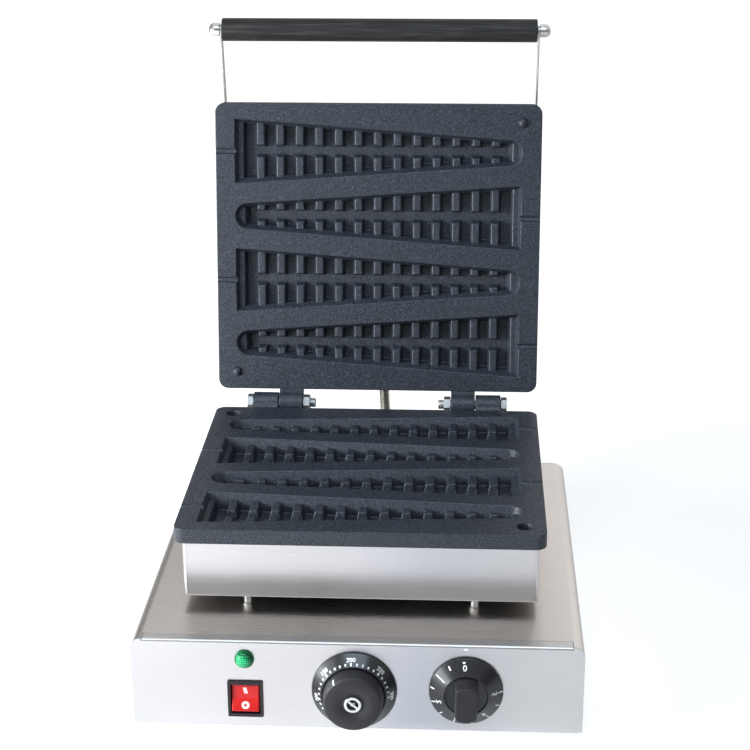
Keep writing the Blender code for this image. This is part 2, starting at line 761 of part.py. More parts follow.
def add_block(bm, row, heading, u_range, v_range, u_slope, v_slope):
    # A drafted block whose top lies at BLOCK_DEPTH and whose foot runs past the floor.
    # A slope of 1 drafts the low side, the high side or both, as (low, high).
    foot = MOULD_DEPTH + OVERRUN
    spread = (foot - BLOCK_DEPTH) * FLOOR_DRAFT_SHARE
    for vert in bmesh.ops.create_cube(bm, size=1)["verts"]:
        deep = vert.co.z > 0
        step_u, step_v = (1 if vert.co.x > 0 else 0), (1 if vert.co.y > 0 else 0)
        grow = spread if deep else 0
        u = u_range[step_u] + (grow if step_u else -grow) * u_slope[step_u]
        v = v_range[step_v] + (grow if step_v else -grow) * v_slope[step_v]
        vert.co = mould_point(row, heading, u, v, foot if deep else BLOCK_DEPTH)


def add_mould_blocks(bm, row, heading):
    past = MOULD_WIDE / 2 + OVERRUN
    for index in range(BLOCK_COUNT):
        u = MOULD_LENGTH / 2 + BLOCK_PITCH * (index - (BLOCK_COUNT - 1) / 2)
        outer = mould_half_width(u) + OVERRUN
        across = (u - BLOCK_TOP / 2, u + BLOCK_TOP / 2)
        add_block(bm, row, heading, across, (CHANNEL_HALF, outer), (1, 1), (1, 0))
        add_block(bm, row, heading, across, (-outer, -CHANNEL_HALF), (1, 1), (0, 1))
    add_block(bm, row, heading, (-OVERRUN, LEDGE_WIDE), (-past, past), (0, 1), (0, 0))
    tip_past = MOULD_TIP_RADIUS + OVERRUN
    tip_slope = LEDGE_TIP_SLOPE_SHARE / FLOOR_DRAFT_SHARE
    add_block(bm, row, heading, (MOULD_LENGTH - LEDGE_TIP, MOULD_LENGTH + OVERRUN),
              (-tip_past, tip_past), (tip_slope, 0), (0, 0))


def headings():
    # Which way each tip points, front mould first: +1 to the right
    return [(row, 1 if row % 2 == 0 else -1) for row in range(MOULD_COUNT)]


def dome_places():
    x = PLATE_WIDTH / 2 - DOME_INSET_X
    front = -HINGE_BACK - PLATE_DEPTH + DOME_INSET_Y
    back = -HINGE_BACK - DOME_INSET_Y
    return [(x, front), (-x, back)]


def box_screw_rows():
    return {"front": between_rows(0), "rear": between_rows(2)}


def lug_outline():
    # In Y and Z about the hinge axis: a web out of the plate's back edge and a round boss, whose
    # underside turns clear of the other plate's back edge
    low = HALF_SEAT + LUG_STEP
    high = HALF_SEAT + PLATE_EDGE - LUG_STEP
    root = -HINGE_BACK - LUG_ROOT
    boss = arc((0, 0), LUG_BOSS, 78, -172, BOSS_STEPS)
    return [(root, low), (root, high), (-HINGE_BACK, high)] + boss + [(RUNNING - HINGE_BACK, low)]


def make_plate(name, side, frame, lug_low, lug_high):
    half = PLATE_WIDTH / 2
    front = -HINGE_BACK - PLATE_DEPTH
    back = -HINGE_BACK
    bm = bmesh.new()
    add_box(bm, (-half, front, HALF_SEAT), (half, back, HALF_SEAT + PLATE_EDGE))
    upright = [edge for edge in bm.edges
               if abs(edge.verts[0].co.z - edge.verts[1].co.z) > PLATE_EDGE / 2]
    bmesh.ops.bevel(bm, geom=upright, offset=PLATE_CORNER, segments=BEND_STEPS, affect="EDGES", profile=0.5)
    mirror_half(bm, side)
    plate = add_piece(name, bm, "plate_coating", frame)
    core = bmesh.new()
    add_box(core, (-half + CORE_SIDE_INSET, front + CORE_END_INSET, HALF_SEAT + PLATE_EDGE - CORE_OVERLAP),
            (half - CORE_SIDE_INSET, back - CORE_END_INSET, HALF_SEAT + PLATE_CORE))
    for sign in (-1, 1):
        ends = sorted((sign * lug_low, sign * lug_high))
        add_plate(core, lug_outline(), "X", *ends)
    mirror_half(core, side)
    combine(plate, core, "UNION")
    bosses = bmesh.new()
    boss_height = 2 * HEATER_RADIUS + SEAT + CORE_OVERLAP
    for y in box_screw_rows().values():
        start = (0, y, HALF_SEAT + PLATE_CORE - CORE_OVERLAP)
        add_cylinder(bosses, start, (0, 0, 1), BAR_BOSS, boss_height, SCREW_SIDES)
    mirror_half(bosses, side)
    combine(plate, bosses, "UNION")
    cut_moulds(plate, side)
    drills = bmesh.new()
    for sign in (-1, 1):
        start = (min(sign * lug_low, sign * lug_high), 0, 0)
        drill(drills, start, "X", BOLT_RADIUS + RUNNING, lug_high - lug_low, POST_SIDES)
    top = HALF_SEAT + PLATE_CORE + 2 * HEATER_RADIUS + SEAT
    bore = (BOX_SCREW_SHANK + RUNNING) / math.cos(math.pi / SCREW_SIDES)
    for y in box_screw_rows().values():
        depth = BOX_SCREW_DEPTH + OVERRUN
        add_cylinder(drills, (0, y, top - BOX_SCREW_DEPTH), (0, 0, 1), bore, depth, SCREW_SIDES)
    if side < 0:
        for x, y in dome_places():
            slope = (DOME_HOLE_MOUTH - DOME_HOLE_FLOOR) / DOME_HOLE_DEPTH
            mouth = DOME_HOLE_MOUTH + slope * OVERRUN
            start = (x, y, HALF_SEAT - OVERRUN)
            add_cylinder(drills, start, (0, 0, 1), mouth, DOME_HOLE_DEPTH + OVERRUN, POST_SIDES,
                         DOME_HOLE_FLOOR)
    mirror_half(drills, side)
    combine(plate, drills, "DIFFERENCE")
    if side > 0:
        domes = bmesh.new()
        for x, y in dome_places():
            place = Matrix.Translation((x, y, HALF_SEAT + DOME_SINK))
            bmesh.ops.create_uvsphere(domes, u_segments=POST_SIDES, v_segments=SCREW_SIDES,
                                      radius=DOME_RADIUS, matrix=place)
        combine(plate, domes, "UNION")
    return plate


def cut_moulds(plate, side):
    voids = bmesh.new()
    blocks = bmesh.new()
    grooves = bmesh.new()
    for row, heading in headings():
        add_mould_void(voids, row, heading)
        add_mould_blocks(blocks, row, heading)
        edge = -heading * (PLATE_WIDTH / 2 + OVERRUN)
        length = (PLATE_WIDTH - MOULD_LENGTH) / 2 + OVERRUN + LEDGE_WIDE / 2
        add_cylinder(grooves, (edge, run_rows()[row], 0), (heading, 0, 0), STICK_RADIUS, length, STICK_SIDES)
    mirror_half(voids, side)
    mirror_half(blocks, side)
    void_tool = combine(plate, voids, "DIFFERENCE")
    combine(void_tool, blocks, "DIFFERENCE")
    combine(plate, grooves, "DIFFERENCE")


def make_box(name, side, frame):
    # A sheet tray whose open side meets the plate
    half = BOX_WIDTH / 2
    rim = HALF_SEAT + PLATE_EDGE + SEAT
    bm = bmesh.new()
    add_box(bm, (-half, -COVER_REACH, rim), (half, -BOX_BACK, COVER_TOP))
    upright = [edge for edge in bm.edges if abs(edge.verts[0].co.z - edge.verts[1].co.z) > SHEET]
    bmesh.ops.bevel(bm, geom=upright, offset=BOX_CORNER, segments=3, affect="EDGES", profile=0.5)
    mouth = [face for face in bm.faces if all(abs(vert.co.z - rim) < MERGE for vert in face.verts)]
    bmesh.ops.delete(bm, geom=mouth, context="FACES_ONLY")
    mirror_half(bm, side)
    box = add_piece(name, bm, "stainless", frame, closed=False)
    add_solidify(box, SHEET)
    return box


def make_lower_box():
    box = make_box("lower_box", -1, lower)
    holes = bmesh.new()
    floor = -COVER_TOP
    for x, y in corners(POST_X, *post_rows()).values():
        drill(holes, (x, y - HINGE_Y, floor), "Z", POST_SHANK + RUNNING, SHEET)
    for y in box_screw_rows().values():
        drill(holes, (0, y, floor), "Z", BOX_SCREW_SHOULDER + RUNNING, SHEET)
    drill(holes, (WIRE_X, wire_y() - HINGE_Y, floor), "Z", BUSHING_BORE, SHEET, BUSHING_SIDES)
    drill(holes, (CONDUIT_LOW_X, -BOX_BACK - SHEET, -CONDUIT_LOW_DROP), "Y", CONDUIT_BORE, SHEET)
    combine(box, holes, "DIFFERENCE")


def make_upper_box():
    box = make_box("upper_box", 1, lid)
    holes = bmesh.new()
    for y in box_screw_rows().values():
        drill(holes, (0, y, COVER_TOP - SHEET), "Z", BOX_SCREW_SHOULDER + RUNNING, SHEET)
    drill(holes, (CONDUIT_HIGH_X, -BOX_BACK - SHEET, CONDUIT_HIGH_RISE), "Y", CONDUIT_BORE, SHEET)
    for side in (-1, 1):
        for reach in ARM_SCREWS:
            start = side * BOX_WIDTH / 2 - (SHEET if side > 0 else 0)
            drill(holes, (start, -HINGE_BACK - reach, ARM_RISE), "X", SMALL_SHANK + RUNNING, SHEET)
    combine(box, holes, "DIFFERENCE")


def bar_range():
    low = HALF_SEAT + PLATE_CORE + 2 * HEATER_RADIUS + 2 * SEAT
    return low, low + BAR_SHEET


def make_box_screws(prefix, side, frame):
    # The shoulder holds the heater's bar and the head holds the box
    head, rise = BOX_SCREW_HEAD
    seat = COVER_TOP + SEAT
    _, bar_top = bar_range()
    end = HALF_SEAT + PLATE_CORE + 2 * HEATER_RADIUS + 2 * SEAT - BOX_SCREW_DEPTH
    profile = [
        (0, seat + rise), (head * SCREW_CROWN_SHARE, seat + rise), (head, seat + rise * SCREW_CROWN_SHARE),
        (head, seat), (BOX_SCREW_SHOULDER, seat), (BOX_SCREW_SHOULDER, bar_top + SEAT),
        (BOX_SCREW_SHANK, bar_top + SEAT), (BOX_SCREW_SHANK, end), (0, end)]
    for name, y in box_screw_rows().items():
        bm = bmesh.new()
        add_turned(bm, profile, (0, y, 0), (0, 0, 1), SCREW_SIDES)
        mirror_half(bm, side)
        add_piece(f"{prefix}_box_screw_{name}", bm, "bright_steel", frame)


def make_heater(name, side, frame):
    # Four runs behind the moulds, joined by half turns, with both ends at the left
    z = HALF_SEAT + PLATE_CORE + SEAT + HEATER_RADIUS
    rows = run_rows()
    points = [(-HEATER_RUN_HALF, rows[0], z + HEATER_TAIL), (-HEATER_RUN_HALF, rows[0], z)]
    for row in range(MOULD_COUNT - 1):
        way = 1 if row % 2 == 0 else -1
        turn = arc((HEATER_RUN_HALF, (rows[row] + rows[row + 1]) / 2), MOULD_PITCH / 2,
                   -90, 90, HEATER_TURN_STEPS)
        points += [(way * x, y, z) for x, y in turn]
    points += [(-HEATER_RUN_HALF, rows[-1], z), (-HEATER_RUN_HALF, rows[-1], z + HEATER_TAIL)]
    points = [(x, y, side * height) for x, y, height in points]
    make_tube_curve(name, points, [HEATER_RADIUS] * len(points), 1, "heater_sheath", frame)


def make_bar(name, side, frame):
    bm = bmesh.new()
    low, high = bar_range()
    rows = run_rows()
    add_box(bm, (-BAR_WIDTH / 2, rows[0] - BAR_OVERHANG, low), (BAR_WIDTH / 2, rows[-1] + BAR_OVERHANG, high))
    mirror_half(bm, side)
    piece = add_piece(name, bm, "zinc", frame)
    holes = bmesh.new()
    for y in box_screw_rows().values():
        drill(holes, (0, y, low), "Z", BOX_SCREW_SHANK + RUNNING, BAR_SHEET)
    mirror_half(holes, side)
    combine(piece, holes, "DIFFERENCE")


def make_hinge_bolts():
    for sign in (-1, 1):
        seat = sign * (LUG_OUTER + SEAT)
        inner = LUG_INNER - SEAT
        tail = inner - BOLT_NUT - BOLT_TAIL
        head = bmesh.new()
        add_cylinder(head, (seat, 0, 0), (sign, 0, 0), BOLT_HEAD_RADIUS, BOLT_HEAD, COLLAR_SIDES)
        bolt = add_piece("hinge_bolt_" + side_name(sign), head, "bright_steel", lower)
        shank = bmesh.new()
        length = LUG_OUTER + SEAT + BOLT_HEAD / 2 - tail
        add_cylinder(shank, (sign * tail, 0, 0), (sign, 0, 0), BOLT_RADIUS, length, POST_SIDES)
        combine(bolt, shank, "UNION")
        nut = bmesh.new()
        bore = (BOLT_RADIUS + RUNNING) / math.cos(math.pi / COLLAR_SIDES)
        add_tube(nut, (sign * inner, 0, 0), (-sign, 0, 0), BOLT_HEAD_RADIUS, bore, BOLT_NUT, COLLAR_SIDES)
        add_piece("hinge_nut_" + side_name(sign), nut, "bright_steel", lower)


def conduit_points(count):
    # An even walk along a curve that leaves the lower box backwards and enters the upper box from below
    start = Vector((CONDUIT_LOW_X, HINGE_Y - BOX_BACK + SEAT, HINGE_Z - CONDUIT_LOW_DROP))
    turn = Matrix.Rotation(-OPEN_TURN, 4, "X")
    pivot = Vector((0, HINGE_Y, HINGE_Z))
    end = pivot + turn @ Vector((CONDUIT_HIGH_X, -BOX_BACK + SEAT, CONDUIT_HIGH_RISE))
    out = Vector((0, 1, 0))
    back = turn @ out
    straight = 2 * CONDUIT_RADIUS
    low = start + out * straight
    high = end + back * straight
    controls = (low, low + out * CONDUIT_REACH, high + back * CONDUIT_REACH, high)
    walk = [start] + [bezier(controls, step / CONDUIT_SAMPLES) for step in range(CONDUIT_SAMPLES + 1)] + [end]
    marks = [0]
    for a, b in zip(walk, walk[1:]):
        marks.append(marks[-1] + (b - a).length)
    points = []
    for index in range(count):
        goal = marks[-1] * index / (count - 1)
        spot = max(k for k in range(len(walk) - 1) if marks[k] <= goal or k == 0)
        share = (goal - marks[spot]) / (marks[spot + 1] - marks[spot])
        points.append(walk[spot].lerp(walk[spot + 1], share))
    return points


def bezier(controls, share):
    a, b, c, d = controls
    rest = 1 - share
    return a * rest ** 3 + b * 3 * rest ** 2 * share + c * 3 * rest * share ** 2 + d * share ** 3


def make_conduit():
    points = conduit_points(2 * CONDUIT_RIBS + 1)
    radii = [CONDUIT_RADIUS * (CONDUIT_VALLEY_SHARE if index % 2 == 0 else 1) for index in range(len(points))]
    conduit = make_tube_curve("conduit", points, radii, 2, "bright_steel", base)
    bore = conduit_points(CONDUIT_RIBS)
    first, last = (bore[0] - bore[1]).normalized(), (bore[-1] - bore[-2]).normalized()
    bore = [bore[0] + first * OVERRUN] + bore[1:-1] + [bore[-1] + last * OVERRUN]
    tool = make_tube_curve("conduit_bore", bore, [CONDUIT_BORE] * len(bore), 1, None, base)
    combine(conduit, tool, "DIFFERENCE")
    bore_radius = (CONDUIT_RADIUS + RUNNING) / math.cos(math.pi / COLLAR_SIDES)
    for name, frame, x, z in (("conduit_collar_low", lower, CONDUIT_LOW_X, -CONDUIT_LOW_DROP),
                              ("conduit_collar_high", lid, CONDUIT_HIGH_X, CONDUIT_HIGH_RISE)):
        bm = bmesh.new()
        add_tube(bm, (x, -BOX_BACK + SEAT, z), (0, 1, 0), COLLAR_RADIUS, bore_radius,
                 COLLAR_LENGTH, COLLAR_SIDES)
        add_piece(name, bm, "bright_steel", frame)


def arm_outline():
    # A bent strip in Y and Z with round ends
    grip = Vector((-HINGE_BACK - PLATE_DEPTH - GRIP_REACH, HALF_SEAT + GRIP_RISE))
    knee = Vector((-HINGE_BACK - ARM_KNEE, ARM_RISE))
    tail = Vector((-HINGE_BACK - ARM_TAIL, ARM_RISE))
    half = ARM_WIDTH / 2
    slope = math.degrees(math.atan2(grip.y - knee.y, grip.x - knee.x))
    far = arc(grip, half, slope + 90, slope - 90, ARM_END_STEPS)
    near = arc(tail, half, 90, -90, ARM_END_STEPS)
    bend = math.radians((slope % 360 - 180) / 2)
    mitre = Vector((-math.sin(bend), math.cos(bend))) * half / math.cos(bend)
    upper, under = knee + mitre, knee - mitre
    return [tuple(under)] + list(far) + [tuple(upper)] + list(near)


def make_handle():
    inner = BOX_WIDTH / 2 + SEAT
    outer = inner + ARM_SHEET
    axis_y = -HINGE_BACK - PLATE_DEPTH - GRIP_REACH
    axis_z = HALF_SEAT + GRIP_RISE
    for sign in (-1, 1):
        bm = bmesh.new()
        low, high = sorted((sign * inner, sign * outer))
        add_plate(bm, arm_outline(), "X", low, high)
        arm = add_piece("handle_arm_" + side_name(sign), bm, "bright_steel", lid)
        holes = bmesh.new()
        drill(holes, (low, axis_y, axis_z), "X", ROD_RADIUS + RUNNING, ARM_SHEET, ROD_SIDES)
        for end, reach in zip(("rear", "front"), ARM_SCREWS):
            drill(holes, (low, -HINGE_BACK - reach, ARM_RISE), "X", SMALL_SHANK + RUNNING, ARM_SHEET)
            screw = bmesh.new()
            add_screw(screw, (sign * (outer + SEAT), -HINGE_BACK - reach, ARM_RISE), (sign, 0, 0),
                      SMALL_HEAD, SMALL_SHANK, SCREW_BITE)
            add_piece(f"arm_screw_{end}_{side_name(sign)}", screw, "bright_steel", lid)
        combine(arm, holes, "DIFFERENCE")
        bore = (ROD_RADIUS + RUNNING) / math.cos(math.pi / SCREW_SIDES)
        profile = [
            (0, DOME_NUT_LENGTH + DOME_NUT_CAP),
            (DOME_NUT_RADIUS * DOME_SHOULDER_SHARE, DOME_NUT_LENGTH + DOME_NUT_CAP * DOME_CROWN_SHARE),
            (DOME_NUT_RADIUS, DOME_NUT_LENGTH), (DOME_NUT_RADIUS, 0), (bore, 0),
            (bore, ROD_END + SEAT), (0, ROD_END + SEAT)]
        nut = bmesh.new()
        add_turned(nut, profile, (sign * (outer + SEAT), axis_y, axis_z), (sign, 0, 0), SCREW_SIDES)
        add_piece("handle_nut_" + side_name(sign), nut, "bright_steel", lid)
    rod = bmesh.new()
    reach = outer + ROD_END
    add_cylinder(rod, (-reach, axis_y, axis_z), (1, 0, 0), ROD_RADIUS, 2 * reach, ROD_SIDES)
    add_piece("handle_rod", rod, "zinc", lid)
    grip = bmesh.new()
    half = inner - 2 * SEAT
    bore = (ROD_RADIUS + RUNNING) / math.cos(math.pi / GRIP_SIDES)
    edge = GRIP_RADIUS * GRIP_EDGE_SHARE
    profile = [(bore, half), (GRIP_RADIUS - edge, half), (GRIP_RADIUS, half - edge),
               (GRIP_RADIUS, edge - half), (GRIP_RADIUS - edge, -half), (bore, -half)]
    add_turned(grip, profile, (0, axis_y, axis_z), (1, 0, 0), GRIP_SIDES, closed=True)
    add_piece("handle_grip", grip, "grip", lid)


def make_switch():
    width, height, thick = SWITCH_BEZEL
    bm = bmesh.new()
    add_box(bm, (-width / 2, -height / 2, SEAT), (width / 2, height / 2, thick))
    body = add_piece("switch_body", bm, "black_plastic", switch)
    wide, tall, deep = SWITCH_BODY
    behind = bmesh.new()
    add_box(behind, (-wide / 2, -tall / 2, -deep), (wide / 2, tall / 2, thick / 2))
    combine(body, behind, "UNION")
    blades = bmesh.new()
    blade_wide, blade_thick, blade_long = SWITCH_BLADE
    for index in range(SWITCH_BLADES):
        y = SWITCH_BLADE_PITCH * (index - (SWITCH_BLADES - 1) / 2)
        add_box(blades, (-blade_wide / 2, y - blade_thick / 2, -deep - blade_long),
                (blade_wide / 2, y + blade_thick / 2, -deep + OVERRUN))
    combine(body, blades, "UNION")
    mouth = bmesh.new()
    mouth_wide, mouth_tall, mouth_deep = SWITCH_MOUTH
    add_box(mouth, (-mouth_wide / 2, -mouth_tall / 2, thick - mouth_deep),
            (mouth_wide / 2, mouth_tall / 2, thick + OVERRUN))
    combine(body, mouth, "DIFFERENCE")


def make_rocker():
    # Side outline in height and depth about the pivot, level, then tipped to on by its parent
    tilt = math.radians(ROCKER_TILT)
    crown = (ROCKER_PIVOT + ROCKER_FACE) / math.cos(tilt)
    end = (ROCKER_HALF * math.cos(tilt), crown + ROCKER_HALF * math.sin(tilt))
    upper = [end, (end[0] - ROCKER_TAPER, -ROCKER_BACK), (ROCKER_ROOT_HALF, -ROCKER_ROOT)]
    outline = [(0, crown)] + upper + [(-y, z) for y, z in reversed(upper)]
    bm = bmesh.new()
    add_plate(bm, outline, "X", -ROCKER_WIDTH / 2, ROCKER_WIDTH / 2)
    add_piece("switch_rocker", bm, "red_plastic", rocker)


def make_lamp():
    lens = bmesh.new()
    profile = [(0, LENS_RIM + LENS_DOME)]
    for share in LENS_CURVE_SHARES:
        rise = math.sqrt(1 - share ** 2)
        profile.append(((LENS_RADIUS - LENS_STEP) * share, LENS_RIM + LENS_DOME * rise))
    profile += [(LENS_RADIUS - LENS_STEP, LENS_RIM), (LENS_RADIUS, LENS_RIM), (LENS_RADIUS, SEAT),
                (LENS_STEM, SEAT), (LENS_STEM, -LENS_STEM_LENGTH), (0, -LENS_STEM_LENGTH)]
    add_turned(lens, profile, (0, 0, 0), (0, 0, 1), LENS_SIDES)
    add_piece("lamp_lens", lens, "green_lens", lamp)
    holder = bmesh.new()
    top = -PANEL_SHEET - SEAT
    bore = (LENS_STEM + RUNNING) / math.cos(math.pi / LENS_SIDES)
    cup = -LENS_STEM_LENGTH - SEAT
    profile = [(bore, top), (LAMP_HOLDER_RADIUS, top), (LAMP_HOLDER_RADIUS, top - LAMP_HOLDER_LENGTH),
               (0, top - LAMP_HOLDER_LENGTH), (0, cup), (bore, cup)]
    add_turned(holder, profile, (0, 0, 0), (0, 0, 1), LENS_SIDES, closed=True)
    add_piece("lamp_holder", holder, "pale_plastic", lamp)


def make_control_body(name, size, frame, material):
    # A box behind the panel with a neck that meets it, bored for the shaft
    width, height, deep = size
    neck_top = -PANEL_SHEET - SEAT
    front = neck_top - NECK_LENGTH
    bm = bmesh.new()
    add_box(bm, (-width / 2, -height / 2, front - deep), (width / 2, height / 2, front))
    bmesh.ops.bevel(bm, geom=list(bm.edges), offset=BODY_BEVEL, segments=1, affect="EDGES", profile=0.5)
    body = add_piece(name, bm, material, frame)
    neck = bmesh.new()
    add_cylinder(neck, (0, 0, front - OVERRUN), (0, 0, 1), THERMOSTAT_NECK, NECK_LENGTH + OVERRUN, POST_SIDES)
    combine(body, neck, "UNION")
    bore = bmesh.new()
    depth = SHAFT_INSIDE - PANEL_SHEET + SEAT
    radius = (SHAFT_RADIUS + RUNNING) / math.cos(math.pi / SHAFT_SIDES)
    add_cylinder(bore, (0, 0, neck_top - depth), (0, 0, 1), radius, depth + OVERRUN, SHAFT_SIDES)
    combine(body, bore, "DIFFERENCE")


def make_thermostat():
    make_control_body("thermostat_body", THERMOSTAT_BOX, thermostat, "zinc")
    ring = bmesh.new()
    bore = (SHAFT_RADIUS + RUNNING) / math.cos(math.pi / DIAL_SIDES)
    inner = SCALE_TOP_RADIUS - SCALE_LIP
    profile = [(inner, SCALE_TOP), (SCALE_TOP_RADIUS, SCALE_TOP), (SCALE_RADIUS, SCALE_RIM),
               (SCALE_RADIUS, SEAT), (bore, SEAT), (bore, SCALE_FLOOR), (inner, SCALE_FLOOR)]
    add_turned(ring, profile, (0, 0, 0), (0, 0, 1), DIAL_SIDES, closed=True)
    add_piece("thermostat_bezel", ring, "black_plastic", thermostat)
    knob = bmesh.new()
    cup_floor = DIAL_FACE - DIAL_DISH - DIAL_CUP
    bore = (SHAFT_RADIUS + RUNNING) / math.cos(math.pi / DIAL_SIDES)
    profile = [
        (bore, cup_floor), (DIAL_CUP_RADIUS, cup_floor), (DIAL_DISH_RADIUS, DIAL_FACE - DIAL_DISH),
        (DIAL_RADIUS - DIAL_EDGE, DIAL_FACE), (DIAL_RADIUS, DIAL_FACE - DIAL_EDGE),
        (DIAL_ROOT_RADIUS, SCALE_TOP), (DIAL_ROOT_RADIUS, SCALE_FLOOR + SEAT), (bore, SCALE_FLOOR + SEAT)]
    add_turned(knob, profile, (0, 0, 0), (0, 0, 1), DIAL_SIDES, closed=True)
    add_piece("thermostat_knob", knob, "black_plastic", thermostat)
    shaft_top = cup_floor - DIAL_WEB
    make_shaft("thermostat_shaft", shaft_top, thermostat)
    screw = bmesh.new()
    seat = cup_floor + SEAT
    profile = [
        (0, seat + DIAL_SCREW_HEAD), (DIAL_SCREW_RADIUS, seat + DIAL_SCREW_HEAD), (DIAL_SCREW_RADIUS, seat),
        (SMALL_SHANK, seat), (SMALL_SHANK, shaft_top + SEAT), (0, shaft_top + SEAT)]
    add_turned(screw, profile, (0, 0, 0), (0, 0, 1), BUSHING_SIDES)
    piece = add_piece("thermostat_screw", screw, "bright_steel", thermostat)
    slot = bmesh.new()
    reach = DIAL_SCREW_RADIUS + OVERRUN
    top = seat + DIAL_SCREW_HEAD
    add_box(slot, (-reach, -DIAL_SCREW_SLOT / 2, top - DIAL_SCREW_SLOT / 2),
            (reach, DIAL_SCREW_SLOT / 2, top + OVERRUN))
    turn = Matrix.Rotation(math.radians(-DIAL_SCREW_TURN), 4, "Z")
    bmesh.ops.transform(slot, matrix=turn, verts=slot.verts)
    combine(piece, slot, "DIFFERENCE")


def make_shaft(name, top, frame):
    bm = bmesh.new()
    add_cylinder(bm, (0, 0, -SHAFT_INSIDE), (0, 0, 1), SHAFT_RADIUS, top + SHAFT_INSIDE, SHAFT_SIDES)
    add_piece(name, bm, "zinc", frame)


def make_timer():
    make_control_body("timer_body", TIMER_BOX, timer, "pale_plastic")
    shaft_top = BAR_GRIP_TOP * SHAFT_DEPTH_SHARE
    make_shaft("timer_shaft", shaft_top, timer)
    disc = bmesh.new()
    bore = (SHAFT_RADIUS + RUNNING) / math.cos(math.pi / DIAL_SIDES)
    hub = DISC_TOP_RADIUS - HUB_LIP
    profile = [(bore, DISC_TOP - HUB_SINK), (hub, DISC_TOP - HUB_SINK), (hub, DISC_TOP),
               (DISC_TOP_RADIUS, DISC_TOP), (DISC_RADIUS, DISC_RIM), (DISC_RADIUS, 2 * SEAT), (bore, 2 * SEAT)]
    add_turned(disc, profile, (0, 0, 0), (0, 0, 1), DIAL_SIDES, closed=True)
    knob = add_piece("timer_knob", disc, "black_plastic", timer)
    grip = bmesh.new()
    low = DISC_TOP - HUB_SINK - OVERRUN / 2
    levels = ((low, 0), (BAR_GRIP_TOP, BAR_GRIP_TAPER))
    rings = []
    for z, inset in levels:
        half = BAR_GRIP_HALF_LENGTH - inset
        width = BAR_GRIP_HALF_WIDTH - inset / 2
        rise = BAR_GRIP_BOW_SHARE * width
        upper = [(width - 2 * width * step / BAR_GRIP_ROUND_STEPS,
                  half - rise * (1 - 2 * step / BAR_GRIP_ROUND_STEPS) ** 2)
                 for step in range(BAR_GRIP_ROUND_STEPS + 1)]
        outline = upper + [(-x, -y) for x, y in upper]
        rings.append([grip.verts.new((x, y, z)) for x, y in outline])
    for ring in rings:
        for pair in zip(ring, ring[1:] + ring[:1]):
            grip.edges.new(pair)
        grip.faces.new(ring)
    walls = [edge for edge in grip.edges]
    bmesh.ops.bridge_loops(grip, edges=walls)
    combine(knob, grip, "UNION")
    bore_tool = bmesh.new()
    add_cylinder(bore_tool, (0, 0, -OVERRUN), (0, 0, 1), bore, shaft_top + SEAT + OVERRUN, SHAFT_SIDES)
    combine(knob, bore_tool, "DIFFERENCE")


def rounded_route(corners, radius, steps):
    # A run of straight stretches with round bends, worked out from its corners
    points = [Vector(corners[0])]
    for before, corner, after in zip(corners, corners[1:], corners[2:]):
        corner = Vector(corner)
        back = (Vector(before) - corner).normalized()
        ahead = (Vector(after) - corner).normalized()
        start, end = corner + back * radius, corner + ahead * radius
        for step in range(steps + 1):
            share = step / steps
            points.append(start.lerp(corner, share).lerp(corner.lerp(end, share), share))
    points.append(Vector(corners[-1]))
    return points


def make_capillary():
    # From the thermostat's body up through the wire sleeve to the bulb behind the lower plate
    start_z = FOOT_GAP + THERMOSTAT_Z
    body_back = PANEL_SHEET + SEAT + NECK_LENGTH + THERMOSTAT_BOX[2] + SEAT
    bulb_z = HINGE_Z - HALF_SEAT - PLATE_CORE - SEAT - BULB_RADIUS
    y = wire_y()
    turns = [
        (THERMOSTAT_X, body_back, start_z), (THERMOSTAT_X, y + WIRE_X - THERMOSTAT_X, start_z),
        (WIRE_X, y, start_z), (WIRE_X, y, bulb_z), (-BULB_HALF, y, bulb_z)]
    points = rounded_route(turns, CAPILLARY_BEND, CAPILLARY_STEPS)
    points += [(-BULB_HALF + BULB_RADIUS, y, bulb_z), (BULB_HALF, y, bulb_z)]
    radii = [CAPILLARY_RADIUS] * (len(points) - 2) + [BULB_RADIUS] * 2
    make_tube_curve("thermostat_capillary", points, radii, 1, "copper", base)


def make_mains_entry():
    seat = SEAT
    gland_z = FOOT_GAP + GLAND_Z
    hex_top = seat + GLAND_HEX_LENGTH
    cap_top = hex_top + GLAND_CAP_LENGTH
    bm = bmesh.new()
    profile = [
        (GLAND_BORE, cap_top + GLAND_CAP_ROUND), (GLAND_MOUTH, cap_top + GLAND_CAP_ROUND),
        (GLAND_CAP, cap_top), (GLAND_CAP, hex_top), (GLAND_HEX, hex_top), (GLAND_HEX, seat),
        (GLAND_THREAD, seat), (GLAND_THREAD, -GLAND_INSIDE), (GLAND_BORE, -GLAND_INSIDE)]
    add_turned(bm, profile, (GLAND_X, BASE_DEPTH, gland_z), (0, 1, 0), GLAND_SIDES, closed=True)
    add_piece("cable_gland", bm, "black_plastic", base)
    width, depth, height = TERMINAL_SIZE
    low = FOOT_GAP + BOTTOM_SHEET + SEAT
    back = BASE_DEPTH - TERMINAL_BACK
    block = bmesh.new()
    add_box(block, (GLAND_X - width / 2, back - depth, low), (GLAND_X + width / 2, back, low + height))
    piece = add_piece("terminal_block", block, "pale_plastic", base)
    notches = bmesh.new()
    pole = (width - TERMINAL_RIB) / TERMINAL_POLES
    for index in range(TERMINAL_POLES):
        x = GLAND_X - width / 2 + TERMINAL_RIB + pole * index
        for y_low, y_high in ((back - depth - OVERRUN, back - depth + TERMINAL_STEP),
                              (back - TERMINAL_STEP, back + OVERRUN)):
            add_box(notches, (x, y_low, low + height / 2), (x + pole - TERMINAL_RIB, y_high,
                                                            low + height + OVERRUN))
    combine(piece, notches, "DIFFERENCE")


